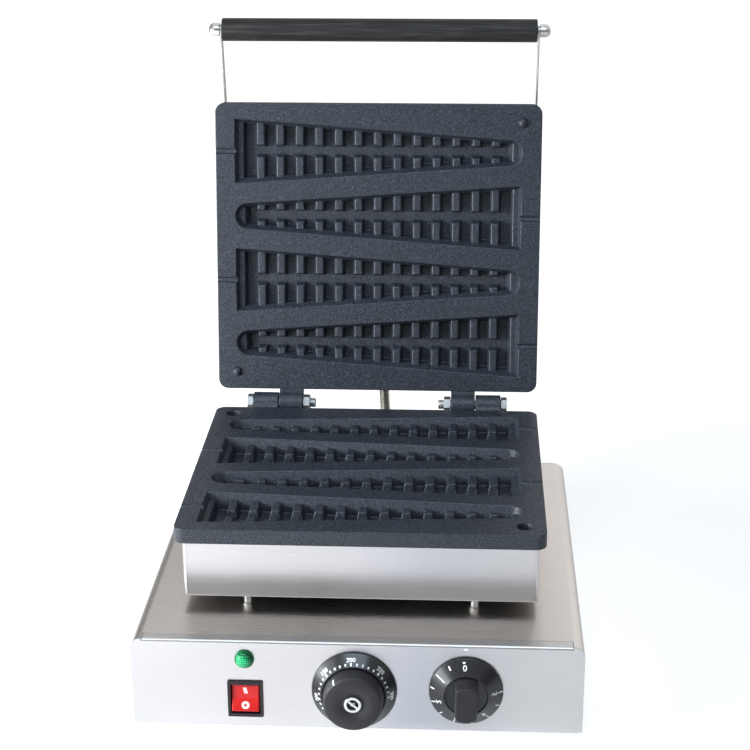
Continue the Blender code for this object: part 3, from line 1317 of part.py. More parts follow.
clear_scene()
parts = make_collection("waffle_stick_maker")
cutters = make_collection("cutters")
materials = {name: make_material(name) for name in COLOURS}
panel_turn = (math.radians(90), 0, 0)
base = make_empty("base_frame", (0, -MIDDLE_Y, 0))
lower = make_empty("hinge_axis", (0, HINGE_Y, HINGE_Z), parent=base)
lid = make_empty("lid_axis", (0, HINGE_Y, HINGE_Z), (-OPEN_TURN, 0, 0), base)
switch = make_empty("switch_place", (SWITCH_X, 0, FOOT_GAP + SWITCH_Z), panel_turn, base)
rocker_turn = (panel_turn[0] - math.radians(ROCKER_TILT), 0, 0)
rocker = make_empty("rocker_axis", (SWITCH_X, ROCKER_PIVOT, FOOT_GAP + SWITCH_Z), rocker_turn, base)
lamp = make_empty("lamp_place", (LAMP_X, 0, FOOT_GAP + LAMP_Z), panel_turn, base)
thermostat = make_empty("thermostat_axis", (THERMOSTAT_X, 0, FOOT_GAP + THERMOSTAT_Z), panel_turn, base)
timer = make_empty("timer_axis", (TIMER_X, 0, FOOT_GAP + TIMER_Z), panel_turn, base)

make_base_shell()
make_front_panel()
make_rear_panel()
make_bottom_plate()
make_feet()
make_rear_screws()
make_posts()
make_plate("lower_plate", -1, lower, LUG_SPLIT + SEAT, LUG_OUTER)
make_plate("upper_plate", 1, lid, LUG_INNER, LUG_SPLIT - SEAT)
make_lower_box()
make_upper_box()
for prefix, side, frame in (("lower", -1, lower), ("upper", 1, lid)):
    make_box_screws(prefix, side, frame)
    make_heater(prefix + "_heater", side, frame)
    make_bar(prefix + "_heater_bar", side, frame)
make_hinge_bolts()
make_conduit()
make_handle()
make_switch()
make_rocker()
make_lamp()
make_thermostat()
make_timer()
make_capillary()
make_mains_entry()
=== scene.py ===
import json
import math

import bmesh
import bpy
from mathutils import Matrix, Vector


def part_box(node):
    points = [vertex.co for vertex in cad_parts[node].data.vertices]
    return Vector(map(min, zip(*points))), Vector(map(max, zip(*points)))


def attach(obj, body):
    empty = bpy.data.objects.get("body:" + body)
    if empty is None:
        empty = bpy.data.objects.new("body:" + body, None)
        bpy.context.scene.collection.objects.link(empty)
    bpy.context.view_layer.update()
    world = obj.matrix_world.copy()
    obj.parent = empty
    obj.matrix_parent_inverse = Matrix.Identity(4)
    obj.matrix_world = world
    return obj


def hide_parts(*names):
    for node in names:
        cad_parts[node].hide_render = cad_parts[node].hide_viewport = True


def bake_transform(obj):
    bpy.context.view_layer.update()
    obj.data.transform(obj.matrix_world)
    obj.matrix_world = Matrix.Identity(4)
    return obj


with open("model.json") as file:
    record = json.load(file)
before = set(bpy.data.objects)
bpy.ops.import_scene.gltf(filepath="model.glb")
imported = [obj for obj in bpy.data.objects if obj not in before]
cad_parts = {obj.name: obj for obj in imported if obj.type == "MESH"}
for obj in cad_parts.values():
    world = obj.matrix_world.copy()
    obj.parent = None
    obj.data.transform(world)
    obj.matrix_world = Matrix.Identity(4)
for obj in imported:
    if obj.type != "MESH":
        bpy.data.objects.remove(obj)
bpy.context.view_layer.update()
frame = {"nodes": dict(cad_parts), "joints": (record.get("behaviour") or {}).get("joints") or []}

# Countertop waffle iron for waffles on a stick. Metres, X to the right, Y to the back, Z up.
nodes = frame["nodes"]
joints = {joint["name"]: joint for joint in frame["joints"]}
hinge = Vector(joints["lid_hinge"]["pos_m"])
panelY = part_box("front_panel")[0].y  # the front panel's face
corners = ("front_left", "front_right", "rear_left", "rear_right")
sides = (("left", -1), ("right", 1))
throughSheet = 0.006  # length of a cutter for a hole in sheet
printLift = 0.00005  # how far printed marks stand off what they are on


def shifted(x, y, z):
    return Matrix.Translation((x, y, z))


def turned(degrees, axis="X"):
    return Matrix.Rotation(math.radians(degrees), 4, axis)


def middleOf(node):
    low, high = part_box(node)
    return (low + high) / 2


def panelPlace(x, z, depth=0.0):  # X right, Y up and Z out of the panel
    return shifted(x, panelY + depth, z) @ turned(90)


def dialPlace(joint):
    return panelPlace(*[joints[joint]["pos_m"][axis] for axis in (0, 2)])


def onPanel(node):
    return panelPlace(middleOf(node).x, middleOf(node).z)


def overFloor(node, z=0.0):
    return shifted(middleOf(node).x, middleOf(node).y, z)


# Both halves are built lying down, with the hinge axis as X and their mouths at Z = 0
lowerPlace = Matrix.Translation(hinge)
lidPlace = lowerPlace @ turned(-joints["lid_hinge"]["range_deg"][1])
halves = (("lower", lowerPlace, "base", -1), ("upper", lidPlace, "lid", 1))
plate = {"width": 0.2834, "depth": 0.2532, "edge": 0.0124, "core": 0.0175, "corner": 0.0085, "back": 0.012,
         "face": 0.00015, "rimRound": 0.0009, "coreSide": 0.0165, "coreEnd": 0.0135, "coreEdge": 0.002,
         "coreSink": 0.003, "lugRound": 0.0007, "bore": 0.0044}
boxes = {"height": 0.0497, "back": 0.0228, "coverScrews": (-0.1952, -0.082), "armRise": 0.0415,
         "armScrews": {"rear": 0.180, "front": 0.228},
         "ports": (Vector((0.012, -0.0225, -0.030)), Vector((0.005, -0.0225, 0.035)))}
boxTop = plate["face"] + plate["edge"] + boxes["height"]


# Materials

def link(source, target):
    source.id_data.links.new(source, target)


def newMaterial(name, colour, roughness, metallic=0.0):
    material = bpy.data.materials.new(name)
    material.use_nodes = True
    tree = material.node_tree
    shader = tree.nodes["Principled BSDF"]
    shader.inputs["Base Color"].default_value = (*colour, 1)
    shader.inputs["Roughness"].default_value = roughness
    shader.inputs["Metallic"].default_value = metallic
    return material, tree, shader


def addNode(tree, kind, values=None, **settings):
    node = tree.nodes.new(kind)
    for key, value in settings.items():
        setattr(node, key, value)
    for key, value in (values or {}).items():
        node.inputs[key].default_value = value
    return node


def objectPoint(tree, scale=(1, 1, 1)):
    mapping = addNode(tree, "ShaderNodeMapping", {"Scale": scale})
    link(addNode(tree, "ShaderNodeTexCoord").outputs["Object"], mapping.inputs["Vector"])
    return mapping.outputs["Vector"]


def axesOf(tree, vector):
    split = addNode(tree, "ShaderNodeSeparateXYZ")
    link(vector, split.inputs["Vector"])
    return split.outputs


def noiseAt(tree, point, scale, detail=2.0, roughness=0.5):
    noise = addNode(tree, "ShaderNodeTexNoise", {"Scale": scale, "Detail": detail, "Roughness": roughness})
    link(point, noise.inputs["Vector"])
    return noise.outputs["Fac"]


def rampOf(tree, factor, stops):
    ramp = addNode(tree, "ShaderNodeValToRGB")
    band = ramp.color_ramp
    for element, (position, colour) in zip(band.elements, (stops[0], stops[-1])):
        element.position, element.color = position, (*colour, 1)
    for position, colour in stops[1:-1]:
        band.elements.new(position).color = (*colour, 1)
    link(factor, ramp.inputs["Fac"])
    return ramp.outputs["Color"]


def greyRamp(tree, factor, low, high, start=0.3, end=0.7):
    return rampOf(tree, factor, [(start, (low,) * 3), (end, (high,) * 3)])


def mapped(tree, value, start, end, low=0.0, high=1.0):
    node = addNode(tree, "ShaderNodeMapRange", {"From Min": start, "From Max": end, "To Min": low, "To Max": high})
    link(value, node.inputs["Value"])
    return node.outputs["Result"]


def setOrLink(socket, value):
    if isinstance(value, (int, float, tuple)):
        socket.default_value = value
    else:
        link(value, socket)


def raysOf(tree):  # 1 for what the camera sees, and 1 for what is mirrored or seen through
    path = addNode(tree, "ShaderNodeLightPath").outputs
    return path["Is Camera Ray"], mathOf(tree, "MAXIMUM", path["Is Glossy Ray"], path["Is Transmission Ray"])


def mathOf(tree, operation, first, second=0.0):
    node = addNode(tree, "ShaderNodeMath", operation=operation)
    setOrLink(node.inputs[0], first)
    setOrLink(node.inputs[1], second)
    return node.outputs["Value"]


def mixColours(tree, factor, first, second, blend="MIX"):
    node = addNode(tree, "ShaderNodeMix", data_type="RGBA", blend_type=blend)
    for socket, value in ((node.inputs["Factor"], factor), (node.inputs[6], first), (node.inputs[7], second)):
        setOrLink(socket, value)
    return node.outputs[2]


def shadeOf(colour, share):
    return tuple(min(channel * share, 1.0) for channel in colour)


def bumpFrom(tree, shader, height, strength, distance):
    bump = addNode(tree, "ShaderNodeBump", {"Strength": strength, "Distance": distance})
    link(height, bump.inputs["Height"])
    link(bump.outputs["Normal"], shader.inputs["Normal"])


def grainTangent(tree, shader):  # along X on the top and front, along Y on the sides
    cross = addNode(tree, "ShaderNodeVectorMath", operation="CROSS_PRODUCT")
    cross.inputs[1].default_value = (0.0, 0.35, 1.0)
    link(addNode(tree, "ShaderNodeNewGeometry").outputs["Normal"], cross.inputs[0])
    link(cross.outputs["Vector"], shader.inputs["Tangent"])


def brushedSteel(name, look):
    colour = look["colour"]
    material, tree, shader = newMaterial(name, colour, look["roughness"], 1.0)
    shader.inputs["Anisotropic"].default_value = look["anisotropy"]
    grainTangent(tree, shader)
    long, fine = look["grain"]
    alongX, alongY = (noiseAt(tree, objectPoint(tree, scale), 1.0, 3.0, 0.6)
                      for scale in ((long, fine, fine), (fine, long, fine)))
    # Faces that look left or right have their grain front to back
    normal = axesOf(tree, addNode(tree, "ShaderNodeNewGeometry").outputs["Normal"])
    across = mathOf(tree, "GREATER_THAN", mathOf(tree, "ABSOLUTE", normal["X"]), 0.7)
    grain = mathOf(tree, "ADD", mathOf(tree, "MULTIPLY", alongX, mathOf(tree, "SUBTRACT", 1.0, across)),
                   mathOf(tree, "MULTIPLY", alongY, across))
    cloud = noiseAt(tree, objectPoint(tree), look["cloudScale"], 3.0)
    streak = rampOf(tree, grain, [(0.3, shadeOf(colour, look["darkShare"])), (0.5, colour),
                                  (0.7, shadeOf(colour, look["lightShare"]))])
    smudge = greyRamp(tree, cloud, look["smudgeShare"], 1.0, 0.35, 0.6)
    link(mixColours(tree, 1.0, streak, smudge, "MULTIPLY"), shader.inputs["Base Color"])
    rough = mathOf(tree, "ADD", mathOf(tree, "MULTIPLY", grain, look["roughSpread"]),
                   mathOf(tree, "MULTIPLY", cloud, look["roughCloud"]))
    link(mathOf(tree, "ADD", rough, look["roughness"]), shader.inputs["Roughness"])
    bumpFrom(tree, shader, grain, look["bump"], 0.00004)
    return material


def castCoating(name, look):
    material, tree, shader = newMaterial(name, look["colour"], look["roughness"])
    shader.inputs["Specular IOR Level"].default_value = look["gloss"]
    point = objectPoint(tree)
    grit = noiseAt(tree, point, look["gritScale"], 2.0, 0.65)
    cloud = noiseAt(tree, point, look["cloudScale"], 3.0)
    base = rampOf(tree, grit, [(0.32, look["pit"]), (0.5, look["colour"]), (0.68, look["peak"])])
    worn = mixColours(tree, greyRamp(tree, cloud, 0.0, look["hazeShare"]), base, (*look["haze"], 1))
    link(worn, shader.inputs["Base Color"])
    link(greyRamp(tree, grit, look["roughness"] + 0.12, look["roughness"] - 0.1), shader.inputs["Roughness"])
    bumpFrom(tree, shader, grit, look["bump"], 0.00018)
    return material


def streakedGrip(name, look):
    material, tree, shader = newMaterial(name, look["dark"], look["roughness"][0])
    shader.inputs["Specular IOR Level"].default_value = look["gloss"]
    streak = noiseAt(tree, objectPoint(tree, look["streak"]), 1.0, 5.0, 0.65)
    pores = noiseAt(tree, objectPoint(tree, look["pore"]), 1.0, 2.0)
    colour = rampOf(tree, streak, [(0.34, look["dark"]), (0.52, look["middle"]), (0.7, look["light"])])
    link(colour, shader.inputs["Base Color"])
    link(greyRamp(tree, streak, *look["roughness"]), shader.inputs["Roughness"])
    bumpFrom(tree, shader, mathOf(tree, "ADD", streak, pores), look["bump"], 0.0002)
    return material


def mouldedPlastic(name, look):
    material, tree, shader = newMaterial(name, look["colour"], look["roughness"])
    shader.inputs["Specular IOR Level"].default_value = look.get("gloss", 0.5)
    point = objectPoint(tree)
    grain = noiseAt(tree, point, look["grainScale"], 2.0)
    stops = [(0.35, shadeOf(look["colour"], 0.8)), (0.65, shadeOf(look["colour"], 1.25))]
    link(rampOf(tree, noiseAt(tree, point, 60.0, 2.0), stops), shader.inputs["Base Color"])
    link(greyRamp(tree, grain, look["roughness"] + 0.08, look["roughness"] - 0.06), shader.inputs["Roughness"])
    bumpFrom(tree, shader, grain, look["bump"], 0.00006)
    return material


def plainMetal(name, look):
    material, tree, shader = newMaterial(name, look["colour"], look["roughness"], 1.0)
    cloud = noiseAt(tree, objectPoint(tree), look["cloudScale"], 3.0)
    scratch = noiseAt(tree, objectPoint(tree, (900, 900, 120)), 1.0, 2.0)
    stops = [(0.35, shadeOf(look["colour"], look["darkShare"])), (0.6, look["colour"])]
    link(rampOf(tree, cloud, stops), shader.inputs["Base Color"])
    link(greyRamp(tree, cloud, look["roughness"] + 0.14, look["roughness"]), shader.inputs["Roughness"])
    bumpFrom(tree, shader, scratch, look["bump"], 0.00005)
    return material


def litRed(name, look):
    # Red plastic with a faint painted glow added as emission, which brightens the rocker although it is no lamp
    material, tree, shader = newMaterial(name, look["colour"], look["roughness"])
    shader.inputs["Specular IOR Level"].default_value = look["gloss"]
    shader.inputs["Emission Color"].default_value = (*look["glow"], 1)
    shader.inputs["Emission Strength"].default_value = look["glowStrength"]
    cloud = noiseAt(tree, objectPoint(tree), 90.0, 2.0)
    link(rampOf(tree, cloud, [(0.3, look["deep"]), (0.6, look["colour"])]), shader.inputs["Base Color"])
    bumpFrom(tree, shader, noiseAt(tree, objectPoint(tree), 1600.0), look["bump"], 0.00005)
    return material


def lampGreen(name, look):
    # A lens with a mesh of small squares; painted shade darkens its colour and glow away from a bulb spot low on its
    # left
    material, tree, shader = newMaterial(name, look["colour"], look["roughness"])
    shader.inputs["Specular IOR Level"].default_value = 0.3
    shader.inputs["Emission Strength"].default_value = look["glowStrength"]
    point = axesOf(tree, objectPoint(tree))
    lines = [mathOf(tree, "GREATER_THAN", mathOf(tree, "PINGPONG", point[axis], look["mesh"] / 2),
                    look["mesh"] * 0.16) for axis in "XZ"]
    square = mathOf(tree, "MULTIPLY", *lines)
    away = [mathOf(tree, "POWER", mathOf(tree, "SUBTRACT", point[axis], spot), 2.0)
            for axis, spot in zip("XZ", look["bulb"])]
    # Painted shade: the lens gets darker away from the bulb spot, which gives it a dark crescent at its upper right
    shade = greyRamp(tree, mathOf(tree, "SQRT", mathOf(tree, "ADD", *away)), 1.0, look["shade"], *look["reach"])
    pattern = mixColours(tree, square, (*look["deep"], 1), (*look["colour"], 1))
    lens = mixColours(tree, 1.0, pattern, shade, "MULTIPLY")
    link(lens, shader.inputs["Base Color"])
    link(lens, shader.inputs["Emission Color"])
    bumpFrom(tree, shader, square, 0.3, 0.0001)
    return material


lampBulb = (middleOf("lamp_lens").x - 0.0012, middleOf("lamp_lens").z - 0.0008)
finishes = {
    brushedSteel: {
        "panelSteel": {"colour": (0.61, 0.605, 0.61), "roughness": 0.24, "anisotropy": 0.6,
                       "grain": (40.0, 2200.0), "cloudScale": 5.0, "darkShare": 0.98, "lightShare": 1.015,
                       "smudgeShare": 0.96, "roughSpread": 0.04, "roughCloud": 0.06, "bump": 0.02},
        "topSteel": {"colour": (0.70, 0.66, 0.625), "roughness": 0.2, "anisotropy": 0.6,
                     "grain": (30.0, 1700.0), "cloudScale": 6.0, "darkShare": 0.93, "lightShare": 1.04,
                     "smudgeShare": 0.93, "roughSpread": 0.08, "roughCloud": 0.08, "bump": 0.08},
        "boxSteel": {"colour": (0.61, 0.595, 0.60), "roughness": 0.22, "anisotropy": 0.6,
                     "grain": (36.0, 2000.0), "cloudScale": 7.0, "darkShare": 0.95, "lightShare": 1.03,
                     "smudgeShare": 0.93, "roughSpread": 0.06, "roughCloud": 0.08, "bump": 0.05},
    },
    castCoating: {
        "plateCoating": {"colour": (0.0170, 0.0212, 0.0290), "pit": (0.004, 0.005, 0.008),
                         "peak": (0.060, 0.074, 0.098), "haze": (0.032, 0.036, 0.046), "hazeShare": 0.2,
                         "roughness": 0.42, "gloss": 0.45, "gritScale": 800.0, "cloudScale": 18.0, "bump": 0.8},
    },
    streakedGrip: {
        "gripWood": {"dark": (0.004, 0.0035, 0.0035), "middle": (0.011, 0.010, 0.010),
                     "light": (0.045, 0.042, 0.040), "roughness": (0.62, 0.44), "gloss": 0.35,
                     "streak": (26.0, 620.0, 620.0), "pore": (180.0, 2600.0, 2600.0), "bump": 0.5},
    },
    mouldedPlastic: {
        "blackPlastic": {"colour": (0.0115, 0.011, 0.013), "roughness": 0.48, "grainScale": 2600.0, "bump": 0.12},
        "ringPlastic": {"colour": (0.011, 0.011, 0.013), "roughness": 0.23, "gloss": 0.6,
                        "grainScale": 2600.0, "bump": 0.08},
        "bezelPlastic": {"colour": (0.012, 0.008, 0.011), "roughness": 0.3, "gloss": 0.35,
                         "grainScale": 2200.0, "bump": 0.1},
        "palePlastic": {"colour": (0.72, 0.70, 0.62), "roughness": 0.5, "grainScale": 1800.0, "bump": 0.1},
        "footRubber": {"colour": (0.022, 0.022, 0.022), "roughness": 0.72, "grainScale": 1500.0, "bump": 0.3},
        "printWhite": {"colour": (0.86, 0.86, 0.85), "roughness": 0.5, "grainScale": 3000.0, "bump": 0.05},
        "rosePrint": {"colour": (0.88, 0.60, 0.60), "roughness": 0.5, "grainScale": 3000.0, "bump": 0.05},
    },
    plainMetal: {
        "brightSteel": {"colour": (0.72, 0.72, 0.71), "roughness": 0.16, "cloudScale": 140.0,
                        "darkShare": 0.86, "bump": 0.08},
        "armSteel": {"colour": (0.58, 0.565, 0.53), "roughness": 0.28, "cloudScale": 60.0,
                     "darkShare": 0.88, "bump": 0.12},
        "zincSteel": {"colour": (0.50, 0.51, 0.52), "roughness": 0.4, "cloudScale": 90.0,
                      "darkShare": 0.78, "bump": 0.15},
        "heaterSheath": {"colour": (0.16, 0.145, 0.13), "roughness": 0.45, "cloudScale": 120.0,
                         "darkShare": 0.6, "bump": 0.3},
        "bareCopper": {"colour": (0.72, 0.38, 0.24), "roughness": 0.3, "cloudScale": 160.0,
                       "darkShare": 0.7, "bump": 0.1},
    },
    litRed: {
        "rockerRed": {"colour": (0.50, 0.014, 0.012), "deep": (0.42, 0.008, 0.008), "glow": (0.9, 0.015, 0.008),
                      "glowStrength": 0.05, "roughness": 0.34, "gloss": 0.35, "bump": 0.06},
    },
    lampGreen: {
        "lampGreen": {"colour": (0.035, 0.62, 0.24), "deep": (0.0, 0.07, 0.02), "roughness": 0.25, "glowStrength": 0.35,
                      "mesh": 0.0016, "bulb": lampBulb, "reach": (0.0046, 0.0054), "shade": 0.04},
        "lampRim": {"colour": (0.010, 0.34, 0.11), "deep": (0.004, 0.20, 0.06), "roughness": 0.15, "glowStrength": 0.10,
                    "mesh": 0.0011, "bulb": lampBulb, "reach": (0.0060, 0.0084), "shade": 0.30},
    },
}
materials = {name: build(name, look) for build, looks in finishes.items() for name, look in looks.items()}
print("materials ready")


# Mesh helpers

def meshFrom(name, bm):
    mesh = bpy.data.meshes.new(name)
    bm.to_mesh(mesh)
    bm.free()
    return mesh


def standAs(name, data):
    item = bpy.data.objects.new(name, data)
    bpy.context.scene.collection.objects.link(item)
    return item


def evaluatedMesh(item, helpers=()):
    # The object as a bmesh with its modifiers run, after which it goes, with its helpers
    bpy.context.view_layer.update()
    made = bpy.data.meshes.new_from_object(item.evaluated_get(bpy.context.evaluated_depsgraph_get()))
    bm = bmesh.new()
    bm.from_mesh(made)
    bpy.data.meshes.remove(made)
    for spent in (item, *helpers):
        bpy.data.objects.remove(spent, do_unlink=True)
    return bm


def mergeInto(target, bm):
    mesh = meshFrom("part", bm)
    target.from_mesh(mesh)
    bpy.data.meshes.remove(mesh)


def faceOut(bm):
    bmesh.ops.recalc_face_normals(bm, faces=bm.faces)


def faceAlong(bm, way):
    # All faces one way round, with the largest one looking along a direction
    faceOut(bm)
    if max(bm.faces, key=lambda face: face.calc_area()).normal.dot(way) < 0:
        bmesh.ops.reverse_faces(bm, faces=bm.faces)


def tidyMesh(bm, distance=0.000002):
    bmesh.ops.remove_doubles(bm, verts=bm.verts, dist=distance)
    faceOut(bm)


def closeHoles(bm):
    bmesh.ops.holes_fill(bm, edges=[edge for edge in bm.edges if edge.is_boundary], sides=0)


def sharpEdges(bm, angle):
    limit = math.radians(angle)
    return [edge for edge in bm.edges if len(edge.link_faces) == 2 and edge.calc_face_angle(0) > limit]


def uprightEdges(bm, rise):
    return [edge for edge in bm.edges if abs(edge.verts[0].co.z - edge.verts[1].co.z) > rise]


def atHeight(items, height):
    return [item for item in items if all(abs(vert.co.z - height) < 0.00001 for vert in item.verts)]


def bevelEdges(bm, edges, width, segments=3, clamp=True):
    bmesh.ops.bevel(bm, geom=edges, offset=width, offset_type="OFFSET", segments=segments, profile=0.5,
                    affect="EDGES", clamp_overlap=clamp, material=-1)


def bevelCorner(bm, corner, width, segments):
    bmesh.ops.bevel(bm, geom=[corner], offset=width, offset_type="OFFSET", profile=0.5, segments=segments,
                    affect="VERTICES", material=-1)


def boxInto(bm, low, high):
    low, high = Vector(low), Vector(high)
    size = high - low
    bmesh.ops.create_cube(bm, size=1, matrix=Matrix.Translation((low + high) / 2) @ Matrix.Diagonal((*size, 1)))


def newBox(low, high):
    bm = bmesh.new()
    boxInto(bm, low, high)
    return bm


def boxAbout(x, y, low, high):  # x and y are half its width and length
    return newBox((-x, -y, low), (x, y, high))


def rodInto(bm, radius, depth, place=Matrix.Identity(4), segments=32):
    bmesh.ops.create_cone(bm, cap_ends=True, segments=segments, radius1=radius, radius2=radius, depth=depth,
                          matrix=place)


def hexInto(bm, radius, low, high):
    rodInto(bm, radius, high - low, shifted(0, 0, (low + high) / 2), 6)


def strandInto(bm, points, closed=False):
    verts = [bm.verts.new(point) for point in points]
    chain = verts + verts[:1] if closed else verts
    return verts, [bm.edges.new(pair) for pair in zip(chain, chain[1:])]


def arcFrom(bm, start, centre, axis, angle, steps):
    # Spins one point into an arc and gives the arc's points in order
    bmesh.ops.spin(bm, geom=[start], cent=centre, axis=axis, angle=angle, steps=steps, use_duplicate=False)
    chain = [start]
    while True:
        following = [vert for edge in chain[-1].link_edges for vert in edge.verts if vert not in chain]
        if not following:
            return chain
        chain.append(following[0])


def drawEdges(bm, edges, step):
    # Pulls edges along a step into faces and gives the new points
    made = bmesh.ops.extrude_edge_only(bm, edges=edges)["geom"]
    drawn = [item for item in made if isinstance(item, bmesh.types.BMVert)]
    bmesh.ops.translate(bm, verts=drawn, vec=step)
    return drawn


def drawFaces(bm, step):
    made = bmesh.ops.extrude_face_region(bm, geom=bm.faces[:])["geom"]
    drawn = [item for item in made if isinstance(item, bmesh.types.BMVert)]
    bmesh.ops.translate(bm, verts=drawn, vec=step)


def spinInto(bm, profile, steps, place=Matrix.Identity(4), closed=False):
    # profile is (radius, height) along local Z, spun round it, then put in place
    before = set(bm.verts)
    points, edges = strandInto(bm, [(radius, 0, height) for radius, height in profile], closed)
    bmesh.ops.spin(bm, geom=points + edges, cent=(0, 0, 0), axis=(0, 0, 1), angle=math.tau, steps=steps,
                   use_merge=True, use_duplicate=False)
    bmesh.ops.transform(bm, matrix=place, verts=[vert for vert in bm.verts if vert not in before])


def tubeProfile(bore, radius, first, last):
    return [(bore, first), (radius, first), (radius, last), (bore, last)]


def turnedMesh(profile, steps, bevel=0.0, segments=3, closed=False, angle=28, rims=()):
    bm = bmesh.new()
    spinInto(bm, profile, steps, closed=closed)
    tidyMesh(bm)
    for radius, height, width in rims:  # rims with a wider rounding of their own
        rim = [edge for edge in atHeight(bm.edges, height)
               if all(abs(vert.co.xy.length - radius) < 0.00005 for vert in edge.verts)]
        bevelEdges(bm, rim, width, 6)
    if bevel:
        level = [edge for edge in sharpEdges(bm, angle)
                 if abs(edge.verts[0].co.z - edge.verts[1].co.z) < 0.00001]
        bevelEdges(bm, level, bevel, segments)
    return bm


def shapedBy(name, bm, steps):
    # Runs a mesh through modifiers and gives the result as a new bmesh
    shape = standAs(name, meshFrom(name, bm))
    helpers = []
    for kind, settings in steps:
        modifier = shape.modifiers.new(kind.lower(), kind)
        for key, value in settings.items():
            if key == "cutter":
                helper = standAs(name + "_cutter", meshFrom(name + "_cutter", value))
                helpers.append(helper)
                modifier.object = helper
                modifier.solver = "EXACT"
            else:
                setattr(modifier, key, value)
    return evaluatedMesh(shape, helpers)


def solidSheet(thickness):
    return ("SOLIDIFY", {"thickness": thickness, "offset": -1.0, "use_even_offset": True})


def cutBy(cutter):
    return ("BOOLEAN", {"operation": "DIFFERENCE", "cutter": cutter})


def joinedTo(other):
    return ("BOOLEAN", {"operation": "UNION", "cutter": other})


def cutSheet(name, bm, look, *cutters):
    # Gives a skin its thickness, its openings and finely rounded edges
    bm = shapedBy(name, bm, [solidSheet(look["sheet"])] + [cutBy(cutter) for cutter in cutters])
    tidyMesh(bm, 0.00001)
    bevelEdges(bm, sharpEdges(bm, 60), look["edge"], 2)
    return bm


def mendShape(bm):
    # Takes out a face that lies inside the shape, and closes slits that merging opened
    stray = [face for face in bm.faces if all(len(edge.link_faces) > 2 for edge in face.edges)]
    bmesh.ops.delete(bm, geom=stray, context="FACES_ONLY")
    bmesh.ops.dissolve_degenerate(bm, dist=0.0000005, edges=bm.edges[:])
    closeHoles(bm)


def addPiece(name, bm, material, body, replaced=(), place=None, smooth=32, tidy=True, weighted=True):
    if tidy:
        tidyMesh(bm)
    if place is not None:
        bmesh.ops.transform(bm, matrix=place, verts=bm.verts)
    mesh = meshFrom(name, bm)
    mesh.shade_smooth()
    mesh.set_sharp_from_angle(angle=math.radians(smooth))
    mesh.materials.append(materials[material])
    piece = standAs(name, mesh)
    if weighted:
        modifier = piece.modifiers.new("weightedNormals", "WEIGHTED_NORMAL")
        modifier.weight = 50
        modifier.keep_sharp = True
    if body:
        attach(piece, body)
    if replaced:
        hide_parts(*replaced)
    return piece


# Base housing

def makeBaseShell():
    shell = {"sheet": 0.001, "sideBend": 0.0085, "foldBend": 0.0016, "flange": 0.030, "bendSegments": 12,
             "notchHalf": 0.1612, "notchDepth": 0.0088, "postHole": 0.0025, "sleeveHole": 0.008,
             "edge": 0.00018}
    low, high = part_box("base_shell")
    middle = (low.z + high.z) / 2
    across = [(low.x + shell["flange"], low.z), (low.x, low.z), (low.x, high.z), (high.x, high.z),
              (high.x, low.z), (high.x - shell["flange"], low.z)]
    bm = bmesh.new()
    drawEdges(bm, strandInto(bm, [(x, low.y, z) for x, z in across])[1], (0, high.y - low.y, 0))
    bottom = [edge for edge in bm.edges if len(edge.link_faces) == 2 and edge.verts[0].co.z < middle]
    bevelEdges(bm, bottom, shell["foldBend"], 4)
    top = [edge for edge in sharpEdges(bm, 60) if edge.verts[0].co.z > middle]
    bevelEdges(bm, top, shell["sideBend"], shell["bendSegments"])
    faceAlong(bm, (0, 0, 1))
    cutter = newBox((-shell["notchHalf"], low.y - 0.002, high.z - shell["sheet"] - 0.001),
                    (shell["notchHalf"], low.y + shell["notchDepth"], high.z + 0.002))
    for corner in corners:
        rodInto(cutter, shell["postHole"], throughSheet, overFloor("post_" + corner, high.z), 24)
    rodInto(cutter, shell["sleeveHole"], throughSheet, overFloor("wire_bushing", high.z))
    bm = cutSheet("shell", bm, shell, cutter)
    addPiece("shell_cover", bm, "topSteel", "base", ["base_shell"], smooth=40)


def makeFrontPanel():
    panel = {"sheet": 0.0012, "topCorner": 0.0085, "lowCorner": 0.0045, "foldBend": 0.0025, "foldDepth": 0.010,
             "foldHalf": 0.1609, "slit": 0.0003, "segments": 12, "edge": 0.00018,
             "switchInset": (0.0014, 0.00125),
             "holes": {"lamp_lens": 0.0044, "thermostat_shaft": 0.0034, "timer_shaft": 0.0034}}
    low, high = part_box("front_panel")
    half, foldHalf = high.x, panel["foldHalf"]
    foldZ = high.z - panel["foldBend"]
    slit = foldHalf + panel["slit"]
    outline = [(-half, low.z), (half, low.z), (half, high.z), (slit, high.z), (slit, foldZ), (foldHalf, foldZ),
               (-foldHalf, foldZ), (-slit, foldZ), (-slit, high.z), (-half, high.z)]
    bm = bmesh.new()
    points = [bm.verts.new((x, low.y, z)) for x, z in outline]
    bm.faces.new(points)
    fold = bm.edges.get((points[5], points[6]))
    spun = bmesh.ops.spin(bm, geom=[fold] + list(fold.verts), cent=(0, low.y + panel["foldBend"], foldZ),
                          axis=(1, 0, 0), angle=math.radians(-90), steps=8, use_duplicate=False)
    last = [item for item in spun["geom_last"] if isinstance(item, bmesh.types.BMEdge)]
    drawEdges(bm, last, (0, panel["foldDepth"] - panel["foldBend"], 0))
    for index, size in ((0, "lowCorner"), (1, "lowCorner"), (2, "topCorner"), (9, "topCorner")):
        bevelCorner(bm, points[index], panel[size], panel["segments"])
    faceAlong(bm, (0, -1, 0))
    switchLow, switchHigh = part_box("switch_body")
    insetX, insetZ = panel["switchInset"]
    cutter = newBox((switchLow.x + insetX, low.y - 0.002, switchLow.z + insetZ),
                    (switchHigh.x - insetX, low.y + 0.004, switchHigh.z - insetZ))
    for node, radius in panel["holes"].items():
        rodInto(cutter, radius, throughSheet, onPanel(node))
    bm = cutSheet("panel", bm, panel, cutter)
    addPiece("panel_front", bm, "panelSteel", "base", ["front_panel"], smooth=40)


